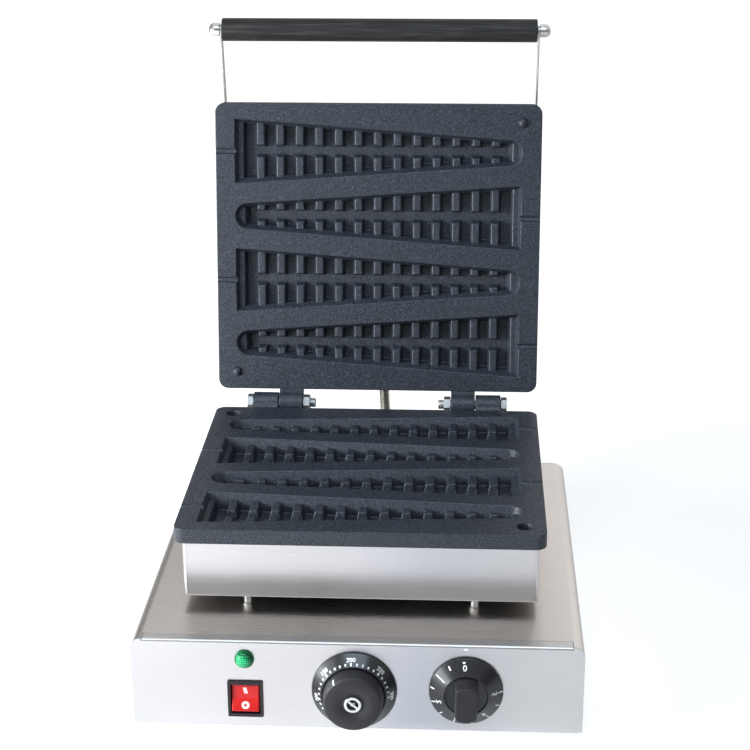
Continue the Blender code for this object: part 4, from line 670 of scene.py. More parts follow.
def makeRearPanel():
    # The node's own shape with its edges rounded
    panel = {"edge": 0.00018}
    bm = bmesh.new()
    bm.from_mesh(nodes["rear_panel"].data)
    bmesh.ops.remove_doubles(bm, verts=bm.verts, dist=0.00001)
    bmesh.ops.dissolve_limit(bm, angle_limit=math.radians(1.0), verts=bm.verts, edges=bm.edges)
    bevelEdges(bm, sharpEdges(bm, 60), panel["edge"], 2, clamp=False)
    addPiece("panel_rear", bm, "panelSteel", "base", ["rear_panel"], smooth=40, tidy=False)


makeBaseShell()
makeFrontPanel()
makeRearPanel()
print("base housing ready")


# Feet, spacers and screws

def makeFeet():
    foot = {"top": 0.013, "bottom": 0.011, "edge": 0.0011, "stud": 0.0017, "studRise": 0.008, "steps": 48}
    for corner in corners:
        node = "foot_" + corner
        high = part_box(node)[1].z
        top = high - foot["studRise"]
        bm = turnedMesh([(0, 0), (foot["bottom"], 0), (foot["top"], top), (foot["stud"], top),
                         (foot["stud"], high), (0, high)], foot["steps"], foot["edge"], 4)
        addPiece("rubber_" + node, bm, "footRubber", "base", [node], overFloor(node))


def makePosts():
    post = {"radius": 0.0035, "shank": 0.0020, "head": 0.0032, "headRise": 0.0012, "gap": 0.0003,
            "edge": 0.0003, "steps": 40}
    radius, shank, head = post["radius"], post["shank"], post["head"]
    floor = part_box("base_shell")[1].z + post["gap"]
    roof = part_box("lower_box")[0].z - post["gap"]
    for corner in corners:
        node = "post_" + corner
        low, high = (point.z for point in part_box(node))
        under, over = low + post["headRise"], high - post["headRise"]
        bm = turnedMesh([(0, high), (head, high), (head, over), (shank, over), (shank, roof), (radius, roof),
                         (radius, floor), (shank, floor), (shank, under), (head, under), (head, low), (0, low)],
                        post["steps"], post["edge"])
        addPiece("spacer_" + corner, bm, "brightSteel", "base", [node], overFloor(node))


def makeSleeve():
    sleeve = {"radius": 0.011, "bore": 0.008, "steps": 48, "edge": 0.0006}
    low, high = (point.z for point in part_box("wire_bushing"))
    bm = turnedMesh(tubeProfile(sleeve["bore"], sleeve["radius"], high, low), sleeve["steps"], sleeve["edge"],
                    closed=True)
    addPiece("wire_sleeve", bm, "palePlastic", "base", ["wire_bushing"],
             overFloor("wire_bushing"))


def crossScrew(name, node, place, look, body):
    # Pan head with a cross recess, its head standing on local Z = 0
    head, rise, shank, length = (look[key] for key in ("head", "rise", "shank", "length"))
    bm = turnedMesh([(0, rise), (head * 0.62, rise * 0.96), (head, rise * 0.45), (head, 0), (shank, 0),
                     (shank, -length), (0, -length)], 36, 0.0002, 2)
    arm, slot = head * 0.6, head * 0.1
    steps = [cutBy(boxAbout(x, y, rise * 0.35, rise * 2)) for x, y in ((arm, slot), (slot, arm))]
    addPiece(name, shapedBy(name, bm, steps), "brightSteel", body, [node], place)


def makeScrews():
    small = {"head": 0.0034, "rise": 0.0018, "shank": 0.0017, "length": 0.008}
    large = {"head": 0.0058, "rise": 0.0030, "shank": 0.0036, "length": 0.0206, "gap": 0.0003}
    for side, _ in sides:
        node = "rear_screw_" + side
        spot = middleOf(node)
        place = shifted(spot.x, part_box(node)[1].y - small["rise"], spot.z) @ turned(-90)
        crossScrew("panel_screw_" + side, node, place, small, "base")
    for end, reach in boxes["armScrews"].items():
        for side, sign in sides:
            node = f"arm_screw_{end}_{side}"
            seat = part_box(node)[sign > 0].x - sign * small["rise"]
            place = lidPlace @ shifted(seat, -plate["back"] - reach, boxes["armRise"]) @ turned(90 * sign, "Y")
            crossScrew(f"strap_screw_{end}_{side}", node, place, small, "lid")
    for half, frameOf, body, way in halves:
        for row in ("front", "rear"):
            node = f"{half}_box_screw_{row}"
            y = (frameOf.inverted() @ middleOf(node)).y
            place = frameOf @ shifted(0, y, way * (boxTop + large["gap"])) @ turned(90 - 90 * way)
            crossScrew(f"{half}_cover_screw_{row}", node, place, large, body)


makeFeet()
makePosts()
makeSleeve()
makeScrews()
print("feet, spacers and screws ready")


# Heater boxes and cast plates

def makeBox(name, half, holes):
    box = {"width": 0.273, "depth": 0.2316, "corner": 0.003, "fold": 0.0012, "sheet": 0.001, "rim": 0.01285,
           "seam": 0.0030, "seamWidth": 0.0005, "seamDepth": 0.0005, "edge": 0.00015}
    side, frameOf, body, way = half
    right = box["width"] / 2
    front = -boxes["back"] - box["depth"]
    bm = newBox((-right, front, box["rim"]), (right, -boxes["back"], boxTop))
    bevelEdges(bm, uprightEdges(bm, 0.01), box["corner"], 8)
    bevelEdges(bm, atHeight(bm.edges, boxTop), box["fold"], 5)
    bmesh.ops.delete(bm, geom=atHeight(bm.faces, box["rim"]), context="FACES_ONLY")
    faceAlong(bm, (0, 0, 1))
    cutter, seam = bmesh.new(), bmesh.new()
    for place, radius in holes:
        rodInto(cutter, radius, throughSheet, place)
    for x in (-right + box["seam"], right - box["seam"]):
        boxInto(seam, (x - box["seamWidth"] / 2, front - 0.001, box["rim"] - 0.001),
                (x + box["seamWidth"] / 2, front + box["seamDepth"], boxTop - box["fold"]))
    bm = cutSheet(name, bm, box, cutter, seam)
    bmesh.ops.transform(bm, matrix=frameOf @ Matrix.Diagonal((1, 1, way, 1)), verts=bm.verts)
    addPiece(name, bm, "boxSteel", body, [side + "_box"], smooth=40)


def makeBoxes():
    hole = {"post": 0.0025, "screw": 0.0041, "sleeve": 0.008, "sleeveAt": (-0.045, -0.1386), "arm": 0.0021,
            "armX": 0.1365, "port": 0.0033}
    posts = []
    for corner in corners:
        local = lowerPlace.inverted() @ middleOf("post_" + corner)
        posts.append((shifted(local.x, local.y, boxTop), hole["post"]))
    screws = [(shifted(0, y, boxTop), hole["screw"]) for y in boxes["coverScrews"]]
    sleeve = (shifted(*hole["sleeveAt"], boxTop), hole["sleeve"])
    arms = [(shifted(sign * hole["armX"], -plate["back"] - reach, boxes["armRise"]) @ turned(90, "Y"),
             hole["arm"]) for _, sign in sides for reach in boxes["armScrews"].values()]
    low, high = ((shifted(port.x, -boxes["back"], abs(port.z)) @ turned(90), hole["port"])
                 for port in boxes["ports"])
    makeBox("heater_box_lower", halves[0], posts + screws + [sleeve, low])
    makeBox("cover_box_upper", halves[1], screws + arms + [high])


mould = {"length": 0.250, "wide": 0.0565, "tip": 0.0113, "depth": 0.0135, "breakDepth": 0.0065,
         "upperSlope": 0.52, "lowerSlope": 0.23, "mouthRound": 0.0012, "footRound": 0.0014, "tipSegments": 24,
         "rows": (-0.2235, -0.1669, -0.1103, -0.0537), "blocks": 13, "blockPitch": 0.0171, "blockTop": 0.0066,
         "blockDepth": 0.0053, "channelHalf": 0.0053, "blockRound": 0.0011, "ledgeWide": 0.0074,
         "ledgeTip": 0.0082, "tipSlope": 0.45, "stick": 0.0026}
over = 0.002  # how far the mould's cutters run past what they cut


def mouldOutline(bm, inset, place):
    # Square end at the left, round tip at the right, as one flat face
    tipX = mould["length"] - mould["tip"]
    taper = math.atan2(mould["wide"] / 2 - mould["tip"], tipX)
    half = mould["wide"] / 2 - inset
    radius = mould["tip"] - inset
    start = bm.verts.new((tipX + radius * math.sin(taper), -radius * math.cos(taper), 0))
    chain = arcFrom(bm, start, (tipX, 0, 0), (0, 0, 1), math.pi - 2 * taper, mould["tipSegments"])
    chain += [bm.verts.new((inset, half, 0)), bm.verts.new((inset, -half, 0))]
    face = bm.faces.new(chain)
    bmesh.ops.transform(bm, matrix=place, verts=chain)
    face.normal_update()
    if face.normal.z < 0:
        face.normal_flip()
    return face


def mouldVoid(bm, place):
    # The mouth is rounded, the wall steeper below its break, and the floor meets it in a fillet
    mouth, foot, depth = mould["mouthRound"], mould["footRound"], mould["depth"]
    turn = math.pi / 2 - math.atan(mould["upperSlope"])
    tangent = mouth * math.tan(turn / 2)
    path = [(mouth * math.sin(turn * k / 4) - tangent, mouth * (1 - math.cos(turn * k / 4))) for k in range(5)]
    path.append((mould["breakDepth"] * mould["upperSlope"], mould["breakDepth"]))
    floor = path[-1][0] + (depth - mould["breakDepth"]) * mould["lowerSlope"]
    turn = math.pi / 2 - math.atan(mould["lowerSlope"])
    ahead = foot * math.tan(turn / 2)
    for k in range(5):
        rest = turn - turn * k / 4
        path.append((floor + (ahead - foot * math.sin(rest)), depth - foot * (1 - math.cos(rest))))
    face = mouldOutline(bm, -tangent, place @ shifted(0, 0, -over))
    steps = [(after[0] - before[0], after[1] - before[1]) for before, after in zip(path, path[1:])]
    for inset, sink in [(0, over)] + steps:
        bmesh.ops.inset_region(bm, faces=[face], thickness=max(inset, 0), depth=sink, use_even_offset=True,
                               use_boundary=True)
    closeHoles(bm)


def mouldBlock(bm, place, across, along, acrossDraft, alongDraft):
    # A drafted block with rounded edges whose foot runs past the floor
    foot = mould["depth"] + over
    spread = (foot - mould["blockDepth"]) * mould["lowerSlope"]
    part = newBox((across[0], along[0], mould["blockDepth"]), (across[1], along[1], foot))
    for vert in part.verts:
        if vert.co.z > foot - 0.0001:
            vert.co.x += spread * (acrossDraft[1] if vert.co.x > sum(across) / 2 else -acrossDraft[0])
            vert.co.y += spread * (alongDraft[1] if vert.co.y > sum(along) / 2 else -alongDraft[0])
    shown = [edge for edge in part.edges if min(vert.co.z for vert in edge.verts) < foot - 0.0001]
    bevelEdges(part, shown, mould["blockRound"])
    bmesh.ops.transform(part, matrix=place, verts=part.verts)
    faceOut(part)
    mergeInto(bm, part)


def mouldBlocks(bm, place):
    length, wide, tip, channel = (mould[key] for key in ("length", "wide", "tip", "channelHalf"))
    for index in range(mould["blocks"]):
        u = length / 2 + mould["blockPitch"] * (index - (mould["blocks"] - 1) / 2)
        outer = wide / 2 + (tip - wide / 2) * u / (length - tip) + over
        across = (u - mould["blockTop"] / 2, u + mould["blockTop"] / 2)
        mouldBlock(bm, place, across, (channel, outer), (1, 1), (1, 0))
        mouldBlock(bm, place, across, (-outer, -channel), (1, 1), (0, 1))
    # A ledge at the square end and one at the tip
    past = wide / 2 + over
    mouldBlock(bm, place, (-over, mould["ledgeWide"]), (-past, past), (0, 1), (0, 0))
    slope = mould["tipSlope"] / mould["lowerSlope"]
    mouldBlock(bm, place, (length - mould["ledgeTip"], length + over), (-tip - over, tip + over), (slope, 0),
               (0, 0))


def plateBlank():
    half = plate["width"] / 2
    front, back = -plate["back"] - plate["depth"], -plate["back"]
    roof = plate["face"] + plate["edge"]
    bm = newBox((-half, front, plate["face"]), (half, back, roof))
    bevelEdges(bm, uprightEdges(bm, 0.01), plate["corner"], 10)
    bevelEdges(bm, sharpEdges(bm, 60), plate["rimRound"], 4)
    core = newBox((-half + plate["coreSide"], front + plate["coreEnd"], roof - plate["coreSink"]),
                  (half - plate["coreSide"], back - plate["coreEnd"], plate["face"] + plate["core"]))
    bevelEdges(core, core.edges[:], plate["coreEdge"])
    return bm, core


def lugBlank(low, high):
    # A web out of the plate's back edge and a round boss on the hinge axis
    lug = {"step": 0.0011, "root": 0.004, "boss": 0.009, "from": 78, "turn": -250, "clear": 0.0004,
           "segments": 32}
    under = plate["face"] + lug["step"]
    roof = plate["face"] + plate["edge"] - lug["step"]
    root = -plate["back"] - lug["root"]
    first = math.radians(lug["from"])
    bm = bmesh.new()
    start = bm.verts.new((low, lug["boss"] * math.cos(first), lug["boss"] * math.sin(first)))
    chain = arcFrom(bm, start, (low, 0, 0), (1, 0, 0), math.radians(lug["turn"]), lug["segments"])
    for y, z in ((lug["clear"] - plate["back"], under), (root, under), (root, roof), (-plate["back"], roof)):
        chain.append(bm.verts.new((low, y, z)))
    bm.faces.new(chain)
    drawFaces(bm, (high - low, 0, 0))
    tidyMesh(bm)
    bevelEdges(bm, sharpEdges(bm, 40), plate["lugRound"])
    return bm


def makePlate(name, half, lugs):
    boss = {"radius": 0.006, "low": 0.0146, "high": 0.02495, "rim": (0.0054, 0.02465), "bore": 0.0028,
            "boreFloor": 0.019, "steps": 32}
    pin = {"side": 0.0167, "front": 0.2376, "rear": 0.0156, "dome": 0.0042, "domeRise": 0.0004,
           "mouth": 0.0062, "floor": 0.0048, "depth": 0.0054, "lip": 0.0007, "steps": 40}
    side, frameOf, body, way = half
    blank, core = plateBlank()
    steps = [joinedTo(core)]
    steps += [joinedTo(lugBlank(*sorted((sign * lugs[0], sign * lugs[1])))) for _, sign in sides]
    bosses = bmesh.new()
    for y in boxes["coverScrews"]:
        spinInto(bosses, [(0, boss["low"]), (boss["radius"], boss["low"]), (boss["radius"], boss["rim"][1]),
                          (boss["rim"][0], boss["high"]), (boss["bore"], boss["high"]),
                          (boss["bore"], boss["boreFloor"]), (0, boss["boreFloor"])], boss["steps"],
                 shifted(0, y, 0))
    tidyMesh(bosses)
    steps.append(joinedTo(bosses))
    voids, blocks, grooves, drills, domes = (bmesh.new() for _ in range(5))
    reach = plate["width"] / 2 + over
    end = -mould["length"] / 2 + mould["ledgeWide"] / 2
    for row, y in enumerate(mould["rows"]):
        turn = Matrix.Diagonal((1 if row % 2 == 0 else -1, 1, 1, 1))
        place = shifted(0, y, plate["face"]) @ turn @ shifted(-mould["length"] / 2, 0, 0)
        mouldVoid(voids, place)
        mouldBlocks(blocks, place)
        rodInto(grooves, mould["stick"], reach + end, turn @ shifted((-reach + end) / 2, y, 0) @ turned(90, "Y"))
    for shape in (voids, blocks, grooves):
        tidyMesh(shape, 0.000001)
    tool = shapedBy("mouldTool", voids, [cutBy(blocks)])
    for _, sign in sides:
        rodInto(drills, plate["bore"], 0.03, shifted(sign * (lugs[0] + lugs[1]) / 2, 0, 0) @ turned(90, "Y"), 40)
    # The upper plate has two domes, and the lower plate holes for them
    lip, mouth, floor, depth = (pin[key] for key in ("lip", "mouth", "floor", "depth"))
    for sign, back in ((1, pin["front"]), (-1, pin["rear"])):
        x, y = sign * (plate["width"] / 2 - pin["side"]), -plate["back"] - back
        if way < 0:
            spinInto(drills, [(0, -over), (mouth + lip, -over), (mouth + lip, 0), (mouth + lip * 0.3, lip * 0.3),
                              (mouth, lip), (floor + 0.0006, depth - 0.0004), (floor, depth), (0, depth)],
                     pin["steps"], shifted(x, y, plate["face"]))
        else:
            bmesh.ops.create_uvsphere(domes, u_segments=32, v_segments=20, radius=pin["dome"],
                                      matrix=shifted(x, y, plate["face"] + pin["domeRise"]))
    steps += [cutBy(tool), cutBy(grooves)]
    if way < 0:
        tidyMesh(drills)
        steps.append(cutBy(drills))
    else:
        steps += [cutBy(drills), joinedTo(domes)]
    bm = shapedBy(name, blank, steps)
    tidyMesh(bm, 0.000004)
    mendShape(bm)
    bmesh.ops.transform(bm, matrix=frameOf @ Matrix.Diagonal((1, 1, way, 1)), verts=bm.verts)
    faceOut(bm)
    addPiece(name, bm, "plateCoating", body, [side + "_plate"], smooth=34, tidy=False)


makeBoxes()
makePlate("cast_plate_lower", halves[0], (0.0878, 0.110))
makePlate("cast_plate_upper", halves[1], (0.066, 0.0872))
print("boxes and plates ready")


# Hinge, conduit and handle

def hexNut(name, node, place, look, body, reach=0.0):
    # Six flats with turned corners along local Z, with a bore, or with a shank where it has a reach
    radius, length = look["radius"], look["length"]
    flat = radius * math.cos(math.radians(30))
    rise = (radius - flat) * 0.55
    blank = bmesh.new()
    hexInto(blank, radius, 0, length)
    turn = turnedMesh([(0, length), (flat * 0.97, length), (radius * 1.01, length - rise), (radius * 1.01, rise),
                       (flat * 0.97, 0), (0, 0)], 48)
    steps = [("BOOLEAN", {"operation": "INTERSECT", "cutter": turn})]
    if reach:
        shank = look["shank"]
        steps.append(joinedTo(turnedMesh([(0, length / 2), (shank, length / 2), (shank, -reach + 0.0006),
                                          (shank - 0.0006, -reach), (0, -reach)], 40)))
    else:
        hole = bmesh.new()
        rodInto(hole, look["bore"], length * 4)
        steps.append(cutBy(hole))
    bm = shapedBy(name, blank, steps)
    tidyMesh(bm, 0.00001)
    bevelEdges(bm, sharpEdges(bm, 40), 0.00012, 2)
    addPiece(name, bm, "zincSteel", body, [node], place)


def makeHinge():
    bolt = {"radius": 0.0075, "length": 0.0053, "shank": 0.004, "seat": 0.1103}
    nut = {"radius": 0.0075, "length": 0.006, "bore": 0.0044, "seat": 0.0657}
    for side, sign in sides:
        reach = abs(sign * bolt["seat"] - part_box("hinge_bolt_" + side)[sign < 0].x)
        for name, look, way, length in (("bolt", bolt, sign, reach), ("nut", nut, -sign, 0.0)):
            place = Matrix.Translation(hinge + Vector((sign * look["seat"], 0, 0))) @ turned(90 * way, "Y")
            hexNut(f"pivot_{name}_{side}", f"hinge_{name}_{side}", place, look, "base", length)


def conduitRoute(route, count):
    # Even steps along a curve that leaves the lower box backwards and enters the upper box
    start, end = hinge + boxes["ports"][0], lidPlace @ boxes["ports"][1]
    outLow = Vector((0, 1, 0))
    outHigh = lidPlace.to_3x3() @ outLow
    low, high = start + outLow * route["straight"], end + outHigh * route["straight"]
    lowGoal, highGoal = low + outLow * route["reach"], high + outHigh * route["reach"]
    walk = [start]
    for step in range(route["samples"] + 1):
        share = step / route["samples"]
        rest = 1 - share
        walk.append(low * rest ** 3 + lowGoal * 3 * rest ** 2 * share + highGoal * 3 * rest * share ** 2
                    + high * share ** 3)
    walk.append(end)
    marks = [0.0]
    for first, second in zip(walk, walk[1:]):
        marks.append(marks[-1] + (second - first).length)
    points = []
    spot = 0
    for index in range(count):
        goal = marks[-1] * index / (count - 1)
        while spot < len(walk) - 2 and marks[spot + 1] < goal:
            spot += 1
        share = (goal - marks[spot]) / (marks[spot + 1] - marks[spot])
        points.append(walk[spot].lerp(walk[spot + 1], share))
    return points, start, end


def makeConduit():
    route = {"straight": 0.0095, "reach": 0.044, "samples": 240, "radius": 0.00475, "valley": 0.0039,
             "ribs": 62, "perRib": 4}
    collar = {"radius": 0.0085, "length": 0.007, "bore": 0.0052}
    points, start, end = conduitRoute(route, route["ribs"] * route["perRib"] + 1)
    curve = bpy.data.curves.new("conduitPath", "CURVE")
    curve.dimensions = "3D"
    curve.bevel_depth = 1
    curve.bevel_resolution = 6
    curve.use_fill_caps = True
    spline = curve.splines.new("POLY")
    spline.points.add(len(points) - 1)
    swell = (route["radius"] - route["valley"]) / 2
    for index, (item, point) in enumerate(zip(spline.points, points)):
        item.co = (*point, 1)
        item.radius = route["valley"] + swell * (1 - math.cos(math.tau * index / route["perRib"]))
    bm = evaluatedMesh(standAs("conduitPath", curve))
    piece = addPiece("wire_conduit", bm, "armSteel", None, ["conduit"], weighted=False, smooth=60)
    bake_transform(piece)
    for name, (_, frameOf, body, _), port in zip(("low", "high"), halves, boxes["ports"]):
        hexNut("conduit_nut_" + name, "conduit_collar_" + name,
               frameOf @ Matrix.Translation(port) @ turned(-90), collar, body)


def armOutline(tail, knee, grip, half):
    # A ribbon about a bent line, with square ends half its width past the line's
    straight, bent = (knee - tail).normalized(), (grip - knee).normalized()
    tailUp, gripUp = Vector((0, -straight.z, straight.y)), Vector((0, -bent.z, bent.y))
    mitre = (tailUp + gripUp).normalized()
    mitre *= half / mitre.dot(tailUp)
    straight, bent, tailUp, gripUp = (way * half for way in (straight, bent, tailUp, gripUp))
    return [tail - tailUp, knee - mitre, grip - gripUp, grip + bent - gripUp, grip + bent + gripUp, grip + gripUp,
            knee + mitre, tail + tailUp, tail - straight + tailUp, tail - straight - tailUp]


def makeHandle():
    arm = {"width": 0.009, "sheet": 0.0016, "tail": 0.165, "knee": 0.245, "gripReach": 0.062,
           "gripRise": 0.01515, "inner": 0.1368, "endSegments": 10, "edge": 0.0003, "rodHole": 0.0034,
           "screwHole": 0.0021}
    grip = {"radius": 0.00988, "edge": 0.0011, "bore": 0.0034, "steps": 72, "half": 0.1362}
    nut = {"radius": 0.0058, "length": 0.005, "cap": 0.004, "bore": 0.0034, "boreDepth": 0.0043, "gap": 0.0003}
    gripAt = Vector((0, -plate["back"] - plate["depth"] - arm["gripReach"], arm["gripRise"]))
    tail, knee, *screws = (Vector((0, -plate["back"] - reach, boxes["armRise"]))
                           for reach in (arm["tail"], arm["knee"], *boxes["armScrews"].values()))
    holes = [(gripAt, arm["rodHole"])] + [(spot, arm["screwHole"]) for spot in screws]
    radius, length, cap, bore = (nut[key] for key in ("radius", "length", "cap", "bore"))
    profile = [(0, length + cap), (radius * 0.45, length + cap * 0.93), (radius * 0.78, length + cap * 0.6),
               (radius * 0.93, length + cap * 0.2), (radius, length * 0.8), (radius, 0), (bore, 0),
               (bore, nut["boreDepth"]), (0, nut["boreDepth"])]
    for side, sign in sides:
        bm = bmesh.new()
        points = [bm.verts.new(point) for point in armOutline(tail, knee, gripAt, arm["width"] / 2)]
        bm.faces.new(points)
        for index in (3, 4, 8, 9):
            bevelCorner(bm, points[index], arm["width"] / 2, arm["endSegments"])
        bmesh.ops.remove_doubles(bm, verts=bm.verts, dist=0.00001)
        drawFaces(bm, (sign * arm["sheet"], 0, 0))
        bmesh.ops.translate(bm, verts=bm.verts, vec=(sign * arm["inner"], 0, 0))
        tidyMesh(bm)
        cutter = bmesh.new()
        for spot, hole in holes:
            rodInto(cutter, hole, 0.008, shifted(sign * arm["inner"], spot.y, spot.z) @ turned(90, "Y"))
        bm = shapedBy("arm", bm, [cutBy(cutter)])
        tidyMesh(bm, 0.00001)
        bevelEdges(bm, sharpEdges(bm, 60), arm["edge"])
        addPiece("grip_arm_" + side, bm, "armSteel", "lid", ["handle_arm_" + side], lidPlace)
        seat = sign * (arm["inner"] + arm["sheet"]) + sign * nut["gap"]
        place = lidPlace @ shifted(seat, gripAt.y, gripAt.z) @ turned(90 * sign, "Y")
        addPiece("grip_cap_" + side, turnedMesh(profile, 48, 0.0002, 2, angle=50), "brightSteel", "lid",
                 ["handle_nut_" + side], place)
    bm = turnedMesh(tubeProfile(grip["bore"], grip["radius"], grip["half"], -grip["half"]), grip["steps"],
                    grip["edge"], 4, closed=True)
    addPiece("round_grip", bm, "gripWood", "lid", ["handle_grip"],
             lidPlace @ Matrix.Translation(gripAt) @ turned(90, "Y"))


makeHinge()
makeConduit()
makeHandle()
print("hinge, conduit and handle ready")


# Controls on the panel

def flatText(text, size, thick):
    # A figure as a thin solid mesh, centred on the origin
    curve = bpy.data.curves.new("figure", "FONT")
    curve.body = text
    curve.size = size
    curve.extrude = thick / 2
    curve.offset = size * 0.022
    curve.align_x = curve.align_y = "CENTER"
    bm = evaluatedMesh(standAs("figure", curve))
    bmesh.ops.remove_doubles(bm, verts=bm.verts, dist=0.000001)
    return bm


def flatBar(width, length, thick):
    return boxAbout(width / 2, length / 2, -thick / 2, thick / 2)


def printOn(target, dial, bm, angle, reach):
    # Lays a flat shape on a dial's slope: X goes round it, Y runs up towards the axis
    outer, inner = Vector((dial["radius"], dial["rim"])), Vector((dial["topRadius"], dial["top"]))
    slope = (inner - outer).normalized()
    normal = Vector((slope.y, -slope.x))
    bmesh.ops.subdivide_edges(bm, edges=[edge for edge in bm.edges if edge.calc_length() > 0.0012], cuts=2)
    start = outer.lerp(inner, reach)
    for vert in bm.verts:
        point = start + slope * vert.co.y + normal * (vert.co.z + printLift)
        turn = math.radians(90 - angle) - vert.co.x / start.x
        vert.co = Vector((point.x * math.cos(turn), point.x * math.sin(turn), point.y))
    mergeInto(target, bm)


def radialStrip(path, width, thick, angle):
    # A thin band that follows a turned profile over its rim
    bm = bmesh.new()
    ends = [(path[0][0], side * width / 2, path[0][1]) for side in (-1, 1)]
    edge = strandInto(bm, ends)[1][0]
    for before, after in zip(path, path[1:]):
        edge = bm.edges.get(drawEdges(bm, [edge], (after[0] - before[0], 0, after[1] - before[1])))
    faceOut(bm)
    if sum(face.normal.z + face.normal.x for face in bm.faces) < 0:
        bmesh.ops.reverse_faces(bm, faces=bm.faces)
    bmesh.ops.solidify(bm, geom=bm.faces[:], thickness=-thick)
    faceOut(bm)
    bmesh.ops.transform(bm, matrix=turned(90 - angle, "Z"), verts=bm.verts)
    return bm


def makeThermostat():
    ring = {"radius": 0.0321, "rim": 0.0016, "topRadius": 0.0245, "top": 0.0098, "lip": 0.0009, "floor": 0.0022,
            "back": 0.0003, "bore": 0.0036, "steps": 128, "edge": 0.00035}
    knob = {"root": 0.0230, "radius": 0.0222, "face": 0.0230, "crown": 0.0009, "rimRound": 0.0022,
            "dish": 0.0135, "dishDepth": 0.0012, "cup": 0.0088, "cupDepth": 0.0012, "gap": 0.0003,
            "bore": 0.0034, "edge": 0.0004, "steps": 128}
    pointer = {"turn": -40, "width": 0.0013, "thick": 0.0001, "lift": 0.00006, "flare": 0.0004, "drop": 0.0068}
    marks = {"figures": ((50, -145), (100, -98), (150, -51), (200, -4), (250, 45), (300, 92)), "size": 0.0046,
             "figureReach": 0.46, "tickReach": 0.80, "tick": (0.0012, 0.0019), "longTick": (0.00144, 0.0024),
             "thick": 0.00012, "perGap": 5}
    place = dialPlace("thermostat_turn")
    inner = ring["topRadius"] - ring["lip"]
    bm = turnedMesh([(inner, ring["top"]), (ring["topRadius"], ring["top"]), (ring["radius"], ring["rim"]),
                     (ring["radius"], ring["back"]), (ring["bore"], ring["back"]),
                     (ring["bore"], ring["floor"]), (inner, ring["floor"])], ring["steps"], ring["edge"],
                    closed=True)
    addPiece("scale_ring", bm, "ringPlastic", "base", ["thermostat_bezel"], place)
    figures = bmesh.new()
    turns = [turn for _, turn in marks["figures"]]
    for figure, turn in marks["figures"]:
        text = flatText(str(figure), marks["size"], marks["thick"])
        printOn(figures, ring, text, turn, marks["figureReach"])
        printOn(figures, ring, flatBar(*marks["longTick"], marks["thick"]), turn, marks["tickReach"])
    for first, second in zip(turns, turns[1:]):
        for step in range(1, marks["perGap"]):
            turn = first + (second - first) * step / marks["perGap"]
            printOn(figures, ring, flatBar(*marks["tick"], marks["thick"]), turn, marks["tickReach"])
    addPiece("scale_figures", figures, "printWhite", "base", place=place, weighted=False,
             smooth=60)
    radius, face, rimRound = knob["radius"], knob["face"], knob["rimRound"]
    shoulder, skirt = face - knob["crown"], ring["floor"] + knob["gap"]
    dishFloor = face - knob["dishDepth"]
    cupFloor = dishFloor - knob["cupDepth"]
    bm = turnedMesh([(knob["bore"], cupFloor), (knob["cup"] - 0.0010, cupFloor),
                     (knob["cup"] + 0.0006, dishFloor - 0.0002), (knob["dish"], face - 0.0003),
                     (knob["dish"] + 0.0026, face), (radius, shoulder), (knob["root"], ring["top"]),
                     (knob["root"], skirt), (knob["bore"], skirt)],
                    knob["steps"], knob["edge"], closed=True, angle=40, rims=[(radius, shoulder, rimRound)])
    addPiece("temperature_knob", bm, "blackPlastic", "thermostat_dial", ["thermostat_knob"], place)
    path = [(radius + pointer["flare"], face - pointer["drop"])]
    for turn in range(5, 91, 17):
        angle, lift = math.radians(turn), rimRound + pointer["lift"]
        path.append((radius - rimRound + lift * math.cos(angle), shoulder - rimRound + lift * math.sin(angle)))
    strip = radialStrip(path, pointer["width"], pointer["thick"], pointer["turn"])
    addPiece("knob_pointer", strip, "printWhite", "thermostat_dial", place=place, weighted=False)
    makeKnobScrew(place, cupFloor)


def makeKnobScrew(place, seat):
    # An open bright ring with one bar across it
    screw = {"radius": 0.0065, "bore": 0.0043, "gap": 0.0003, "head": 0.0016, "bar": 0.0017, "barDrop": 0.0004,
             "barSink": 0.0006, "barEdge": 0.00025, "shank": 0.0017, "shankRise": 0.0004, "shankDrop": 0.0037,
             "edge": 0.0004, "turn": -40}
    base = seat + screw["gap"]
    top = base + screw["head"]
    bm = turnedMesh(tubeProfile(screw["bore"], screw["radius"], base, top), 72, screw["edge"], 4, closed=True)
    bar = boxAbout(screw["bore"] + screw["barSink"], screw["bar"] / 2, base, top - screw["barDrop"])
    bevelEdges(bar, bar.edges[:], screw["barEdge"])
    shank = turnedMesh(tubeProfile(0, screw["shank"], base + screw["shankRise"], seat - screw["shankDrop"]), 32)
    bm = shapedBy("knobScrew", bm, [joinedTo(bar), joinedTo(shank)])
    tidyMesh(bm, 0.000005)
    addPiece("knob_screw", bm, "brightSteel", "thermostat_dial", ["thermostat_screw"],
             place @ turned(screw["turn"], "Z"))


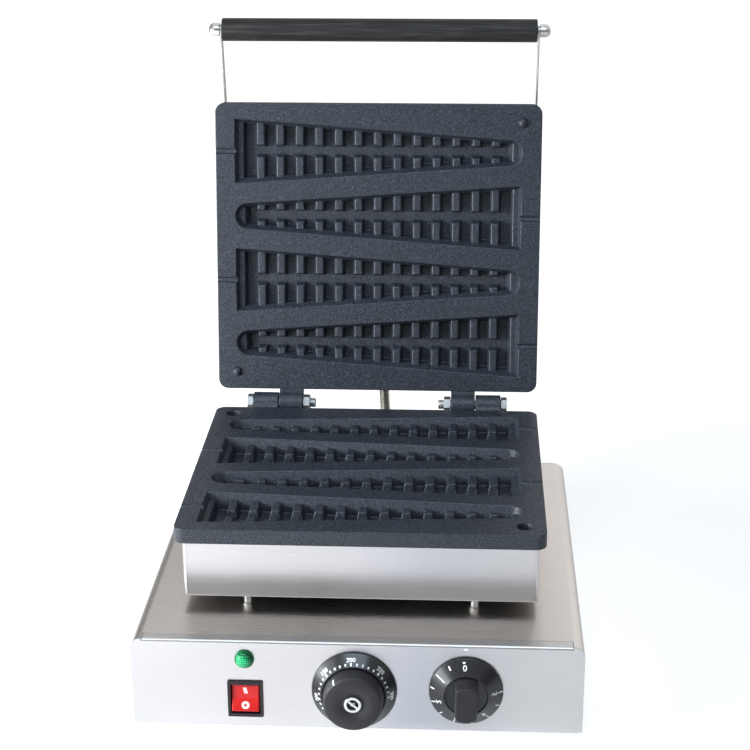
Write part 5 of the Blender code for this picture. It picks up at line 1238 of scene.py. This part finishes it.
def makeTimer():
    disc = {"radius": 0.0278, "rim": 0.0024, "topRadius": 0.0168, "top": 0.0096, "sink": 0.0010, "lip": 0.0008,
            "back": 0.0006, "bore": 0.0036, "steps": 128, "edge": 0.00035}
    bar = {"length": 0.0155, "width": 0.0086, "top": 0.0240, "sink": 0.0003, "taper": 0.0012, "bow": 0.28,
           "cuts": 11, "edge": 0.0014}
    # A line's turn, reach up the slope and length, and a figure's turn and reach
    marks = {"size": 0.0062, "lineWidth": 0.0010, "thick": 0.00012, "lines": (
        (-31, 0.32, 0.0036), (-57, 0.44, 0.0084), (-82, 0.22, 0.0036), (-108, 0.22, 0.0042), (-133, 0.22, 0.0036),
        (-160, 0.22, 0.0042), (-190, 0.22, 0.0036), (-220, 0.22, 0.0046), (-247, 0.22, 0.0036), (-273, 0.22, 0.0046)),
        "figures": ((0, -3, 0.50), (2, -108, 0.58), (3, -160, 0.58), (4, -220, 0.60), (5, -273, 0.58)),
        "zero": (0.0020, 0.0014), "zeroAt": (-4, 0.22)}
    index = {"size": (0.0036, 0.0014, 0.00016), "corner": 0.0006, "shift": -0.0006, "z": 0.0773, "sink": -0.0001}
    place = dialPlace("timer_turn")
    hub, floor = disc["topRadius"] - disc["lip"], disc["top"] - disc["sink"]
    bm = turnedMesh([(disc["bore"], floor), (hub, floor), (hub, disc["top"]), (disc["topRadius"], disc["top"]),
                     (disc["radius"], disc["rim"]), (disc["radius"], disc["back"]),
                     (disc["bore"], disc["back"])], disc["steps"], disc["edge"], closed=True)
    addPiece("timer_disc", bm, "ringPlastic", "timer_dial", ["timer_knob"], place)
    low, length, width = floor - bar["sink"], bar["length"], bar["width"]  # the two are half the grip's
    grip = boxAbout(width, length, low, bar["top"])
    across = [edge for edge in grip.edges if abs(edge.verts[0].co.x - edge.verts[1].co.x) > width]
    bmesh.ops.subdivide_edges(grip, edges=across, cuts=bar["cuts"])
    for vert in grip.verts:
        bow = 1 - bar["bow"] * width / length * (vert.co.x / width) ** 2
        rise = (vert.co.z - low) / (bar["top"] - low)
        vert.co.y *= bow * (1 - rise * bar["taper"] / length)
        vert.co.x *= 1 - rise * bar["taper"] / 2 / width
    tidyMesh(grip)
    bevelEdges(grip, sharpEdges(grip, 35), bar["edge"], 4)
    addPiece("timer_grip", grip, "blackPlastic", "timer_dial", place=place)
    figures = bmesh.new()
    for figure, turn, reach in marks["figures"]:
        printOn(figures, disc, flatText(str(figure), marks["size"], marks["thick"]), turn, reach)
    for turn, reach, length in marks["lines"]:
        printOn(figures, disc, flatBar(marks["lineWidth"], length, marks["thick"]), turn, reach)
    printOn(figures, disc, flatBar(*marks["zero"], marks["thick"]), *marks["zeroAt"])
    addPiece("timer_figures", figures, "printWhite", "timer_dial", place=place, weighted=False,
             smooth=60)
    mark = flatBar(*index["size"])
    bevelEdges(mark, uprightEdges(mark, 0.0001), index["corner"], 5)
    spot = panelPlace(joints["timer_turn"]["pos_m"][0] + index["shift"], index["z"], index["sink"])
    addPiece("timer_index", mark, "printWhite", "base", place=spot, weighted=False)


def makeSwitch():
    bezel = {"thick": 0.0020, "gap": 0.0003, "corner": 0.0011, "edge": 0.0005, "lip": 0.0004,
             "mouthWidth": 0.0222, "mouthHeight": 0.0244, "depth": 0.013, "bodyWidth": 0.0236,
             "bodyHeight": 0.0272, "bodyDeep": 0.022}
    low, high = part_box("switch_body")
    thick = bezel["thick"]
    bm = boxAbout((high.x - low.x) / 2, (high.z - low.z) / 2, bezel["gap"], thick)
    bevelEdges(bm, uprightEdges(bm, 0.001), bezel["corner"], 5)
    bevelEdges(bm, atHeight(bm.edges, thick), bezel["edge"])
    back = boxAbout(bezel["bodyWidth"] / 2, bezel["bodyHeight"] / 2, -bezel["bodyDeep"], thick / 2)
    mouth = boxAbout(bezel["mouthWidth"] / 2, bezel["mouthHeight"] / 2, thick - bezel["depth"], 0.01)
    bm = shapedBy("bezel", bm, [joinedTo(back), cutBy(mouth)])
    tidyMesh(bm, 0.00001)
    bevelEdges(bm, atHeight(sharpEdges(bm, 60), thick), bezel["lip"])
    addPiece("switch_frame", bm, "bezelPlastic", "base", ["switch_body"], onPanel("switch_body"))


def makeRocker():
    rocker = {"width": 0.0208, "half": 0.0110, "tilt": 10, "pivot": 0.0047, "face": 0.0002, "taper": 0.0016,
              "back": 0.002, "root": 0.004, "rootHalf": 0.006, "edge": 0.0010}
    mark = {"reach": 0.0058, "thick": 0.00016, "stroke": (0.0028, 0.0050), "slant": 0.22, "ring": (0.0011, 0.0030)}
    place = Matrix.Translation(joints["switch_tip"]["pos_m"]) @ turned(90 - rocker["tilt"])
    tilt = math.radians(rocker["tilt"])
    crown = (rocker["pivot"] + rocker["face"]) / math.cos(tilt)
    end = (rocker["half"] * math.cos(tilt), crown + rocker["half"] * math.sin(tilt))
    upper = [end, (end[0] - rocker["taper"], -rocker["back"]), (rocker["rootHalf"], -rocker["root"])]
    outline = [(0, crown)] + upper + [(-y, z) for y, z in reversed(upper)]
    bm = bmesh.new()
    bm.faces.new([bm.verts.new((-rocker["width"] / 2, y, z)) for y, z in outline])
    drawFaces(bm, (rocker["width"], 0, 0))
    tidyMesh(bm)
    bevelEdges(bm, sharpEdges(bm, 20), rocker["edge"])
    addPiece("rocker_key", bm, "rockerRed", "rocker", ["switch_rocker"], place)
    stroke = flatBar(*mark["stroke"], mark["thick"])
    for vert in stroke.verts:
        vert.co.x -= vert.co.y * mark["slant"]
    ring = turnedMesh(tubeProfile(*mark["ring"], mark["thick"] / 2, -mark["thick"] / 2), 40, closed=True)
    marks = bmesh.new()
    lift = crown + mark["reach"] * math.tan(tilt) + printLift
    for sign, shape in ((1, stroke), (-1, ring)):
        matrix = shifted(0, sign * mark["reach"], lift) @ turned(rocker["tilt"] * sign)
        bmesh.ops.transform(shape, matrix=matrix, verts=shape.verts)
        mergeInto(marks, shape)
    addPiece("rocker_marks", marks, "rosePrint", "rocker", place=place, weighted=False)


def makeLamp():
    lens = {"radius": 0.00735, "rim": 0.0016, "sink": 0.0002, "back": 0.0003, "dome": 0.0050, "stem": 0.0040,
            "stemLength": 0.006, "step": 0.0009, "slope": 0.0006, "edge": 0.0003, "domeShare": 0.99}
    radius, wide = lens["radius"], lens["radius"] - lens["step"]
    seat = lens["rim"] - lens["sink"]
    bm = turnedMesh([(0, seat), (wide - lens["slope"], seat), (wide, lens["rim"]), (radius, lens["rim"]),
                     (radius, lens["back"]), (lens["stem"], lens["back"]),
                     (lens["stem"], -lens["stemLength"]), (0, -lens["stemLength"])], 64, lens["edge"])
    addPiece("lamp_rim", bm, "lampRim", "base", ["lamp_lens"], onPanel("lamp_lens"))
    dome = bmesh.new()
    bmesh.ops.create_uvsphere(dome, u_segments=48, v_segments=32, radius=1.0)
    bmesh.ops.bisect_plane(dome, geom=dome.verts[:] + dome.edges[:] + dome.faces[:], plane_co=(0, 0, 0),
                           plane_no=(0, 0, -1), clear_outer=True)
    size = Matrix.Diagonal((wide * lens["domeShare"], wide * lens["domeShare"], lens["dome"], 1))
    bmesh.ops.transform(dome, matrix=shifted(0, 0, seat) @ size, verts=dome.verts)
    closeHoles(dome)
    addPiece("lamp_dome", dome, "lampGreen", "base", place=onPanel("lamp_lens"), weighted=False)


def makeGland():
    gland = {"bore": 0.0040, "thread": 0.0076, "hex": 0.0110, "cap": 0.0092, "mouth": 0.0062, "seat": 0.0003,
             "hexLength": 0.006, "capLength": 0.007, "capRound": 0.005, "inside": 0.009, "edge": 0.0006,
             "hexEdge": 0.0005}
    bore, cap, thread, inside = (gland[key] for key in ("bore", "cap", "thread", "inside"))
    hexTop = gland["seat"] + gland["hexLength"]
    capTop = hexTop + gland["capLength"]
    end = capTop + gland["capRound"]
    bm = turnedMesh([(bore, end), (gland["mouth"], end), (cap, capTop), (cap, hexTop), (thread, hexTop),
                     (thread, -inside), (bore, -inside)], 56, gland["edge"], closed=True)
    nut, hole = bmesh.new(), bmesh.new()
    hexInto(nut, gland["hex"], gland["seat"], hexTop - 0.0001)
    bevelEdges(nut, nut.edges[:], gland["hexEdge"])
    rodInto(hole, bore, 0.06, segments=56)
    bm = shapedBy("gland", bm, [joinedTo(nut), cutBy(hole)])
    spot = middleOf("cable_gland")
    place = shifted(spot.x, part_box("rear_panel")[1].y, spot.z) @ turned(-90)
    addPiece("mains_gland", bm, "blackPlastic", "base", ["cable_gland"], place)


makeThermostat()
makeTimer()
makeSwitch()
makeRocker()
makeLamp()
makeGland()
print("controls ready")


# CAD nodes that keep their own shape

kept = {
    "zincSteel": ("bottom_plate", "lower_heater_bar", "upper_heater_bar", "thermostat_body", "thermostat_shaft",
                  "timer_shaft", "handle_rod"),
    "heaterSheath": ("lower_heater", "upper_heater"),
    "bareCopper": ("thermostat_capillary",),
    "palePlastic": ("lamp_holder", "timer_body", "terminal_block"),
}
for name, members in kept.items():
    for node in members:
        nodes[node].data.materials.clear()
        nodes[node].data.materials.append(materials[name])


# Floor, light and camera

def makeFloor():
    floor = {"size": 14.0, "colour": (0.80, 0.80, 0.80), "roughness": 0.9, "glow": 0.74, "fade": (0.4, 1.5),
             "across": (-0.17, 0.17), "table": (-0.215, -0.195), "plain": (0.42, 0.415, 0.42),
             "paintedSheen": ((0.0, (0.475, 0.43, 0.435)), (0.34, (0.43, 0.385, 0.37)), (0.46, (0.475, 0.44, 0.445)),
                       (0.58, (0.03, 0.04, 0.13)), (0.72, (0.0, 0.0, 0.02)), (0.88, (0.25, 0.225, 0.215)),
                       (1.0, (0.28, 0.26, 0.25)))}
    bm = bmesh.new()
    bmesh.ops.create_grid(bm, x_segments=1, y_segments=1, size=floor["size"] / 2)
    plane = standAs("floor", meshFrom("floor", bm))
    material, tree, shader = newMaterial("floorWhite", floor["colour"], floor["roughness"])
    shader.inputs["Specular IOR Level"].default_value = 0.0
    # White to the camera; metal sees a painted reflection on it: a plain table, which in front of the panel is
    # painted bright at the left, dips to dark blue between the dials and falls off to the right
    point = objectPoint(tree)
    axes = axesOf(tree, point)
    away = addNode(tree, "ShaderNodeVectorMath", operation="LENGTH")
    link(point, away.inputs[0])
    glowing = mapped(tree, away.outputs["Value"], *floor["fade"], floor["glow"])
    paintedSheen = rampOf(tree, mapped(tree, axes["X"], *floor["across"]), floor["paintedSheen"])
    paintedSheen = mixColours(tree, mapped(tree, axes["Y"], *floor["table"]), paintedSheen, (*floor["plain"], 1))
    seen, mirrored = raysOf(tree)
    strength = mathOf(tree, "ADD", mathOf(tree, "MULTIPLY", seen, glowing), mirrored)
    glow, both = addNode(tree, "ShaderNodeEmission"), addNode(tree, "ShaderNodeAddShader")
    link(mixColours(tree, mirrored, (1, 1, 1, 1), paintedSheen), glow.inputs["Color"])
    link(strength, glow.inputs["Strength"])
    link(shader.outputs[0], both.inputs[0])
    link(glow.outputs[0], both.inputs[1])
    link(both.outputs[0], tree.nodes["Material Output"].inputs["Surface"])
    plane.data.materials.append(material)


def makeWorld():
    sky = {"seen": 1.0, "soft": 0.08, "depth": (-0.6, 0.6), "frontRise": (0.10, 0.42), "front": (0.10, 0.52),
           "backRise": (0.27, 0.36), "back": (0.30, 1.0), "tilt": 0.8}
    world = bpy.data.worlds.new("studio")
    bpy.context.scene.world = world
    world.use_nodes = True
    tree = world.node_tree
    tree.nodes.clear()
    seen, mirrored = raysOf(tree)
    axes = axesOf(tree, addNode(tree, "ShaderNodeTexCoord").outputs["Generated"])
    # In reflections the front is dark at eye level, and the back brightens upwards and to the right
    fall = mapped(tree, axes["Y"], *sky["depth"])
    front = mapped(tree, axes["Z"], *sky["frontRise"], *sky["front"])
    tilted = mathOf(tree, "ADD", axes["Z"], mathOf(tree, "MULTIPLY", axes["X"], sky["tilt"]))
    back = mapped(tree, tilted, *sky["backRise"], *sky["back"])
    gain = mathOf(tree, "SUBTRACT", back, front)
    ahead = mathOf(tree, "ADD", front, mathOf(tree, "MULTIPLY", gain, fall))
    strength = mathOf(tree, "ADD", mathOf(tree, "MULTIPLY", seen, sky["seen"] - sky["soft"]),
                      mathOf(tree, "MULTIPLY", mirrored, mathOf(tree, "SUBTRACT", ahead, sky["soft"])))
    shine = addNode(tree, "ShaderNodeBackground", {"Color": (1, 1, 1, 1)})
    link(mathOf(tree, "ADD", strength, sky["soft"]), shine.inputs["Strength"])
    link(shine.outputs[0], addNode(tree, "ShaderNodeOutputWorld").inputs["Surface"])


def addLamp(name, place, target, size, power, tint, lights=True, mirrors=True):
    light = bpy.data.lights.new(name, "AREA")
    light.color = tint
    light.shape = "RECTANGLE"
    light.size, light.size_y = size
    light.energy = power
    lamp = standAs(name, light)
    lamp.location = place
    lamp.rotation_euler = (Vector(target) - Vector(place)).to_track_quat("-Z", "Y").to_euler()
    lamp.visible_diffuse, lamp.visible_glossy = lights, mirrors


def makeLamps():
    # The key is split so that what is mirrored of it stays below white
    key = {"place": (-1.35, -0.75, 0.58), "target": (0, -0.1, 0.15), "tint": (0.95, 0.98, 1.0)}
    addLamp("keyLight", **key, size=(0.5, 0.7), power=54, mirrors=False)
    addLamp("keyShine", **key, size=(0.38, 0.52), power=28, lights=False)
    addLamp("sideCard", (-1.25, -0.72, 0.22), (0, -0.1, 0.15), (1.4, 0.4), 15, (0.9, 0.97, 1.0), lights=False)
    addLamp("topLight", (0, -0.95, 1.7), (0, -0.1, 0.1), (1.6, 0.7), 13, (0.66, 0.84, 1.0))


def makeCamera():
    view = {"place": (0.07736, -1.34319, 0.72443), "yaw": -3.096, "pitch": 20.496, "roll": -0.269, "lens": 84.36}
    yaw, pitch, roll = (math.radians(view[key]) for key in ("yaw", "pitch", "roll"))
    ahead = Vector((math.sin(yaw) * math.cos(pitch), math.cos(yaw) * math.cos(pitch), -math.sin(pitch)))
    right = Vector((math.cos(yaw), -math.sin(yaw), 0))
    up = right.cross(ahead)
    across = right * math.cos(roll) + up * math.sin(roll)
    upward = up * math.cos(roll) - right * math.sin(roll)
    camera = standAs("camera", bpy.data.cameras.new("camera"))
    camera.data.sensor_width = 36
    camera.data.lens = view["lens"]
    turn = Matrix((across, upward, -ahead)).transposed().to_4x4()
    camera.matrix_world = Matrix.Translation(view["place"]) @ turn
    bpy.context.scene.camera = camera


makeFloor()
makeWorld()
makeLamps()
makeCamera()
bpy.context.scene.view_settings.view_transform = "Standard"
print("stage ready")
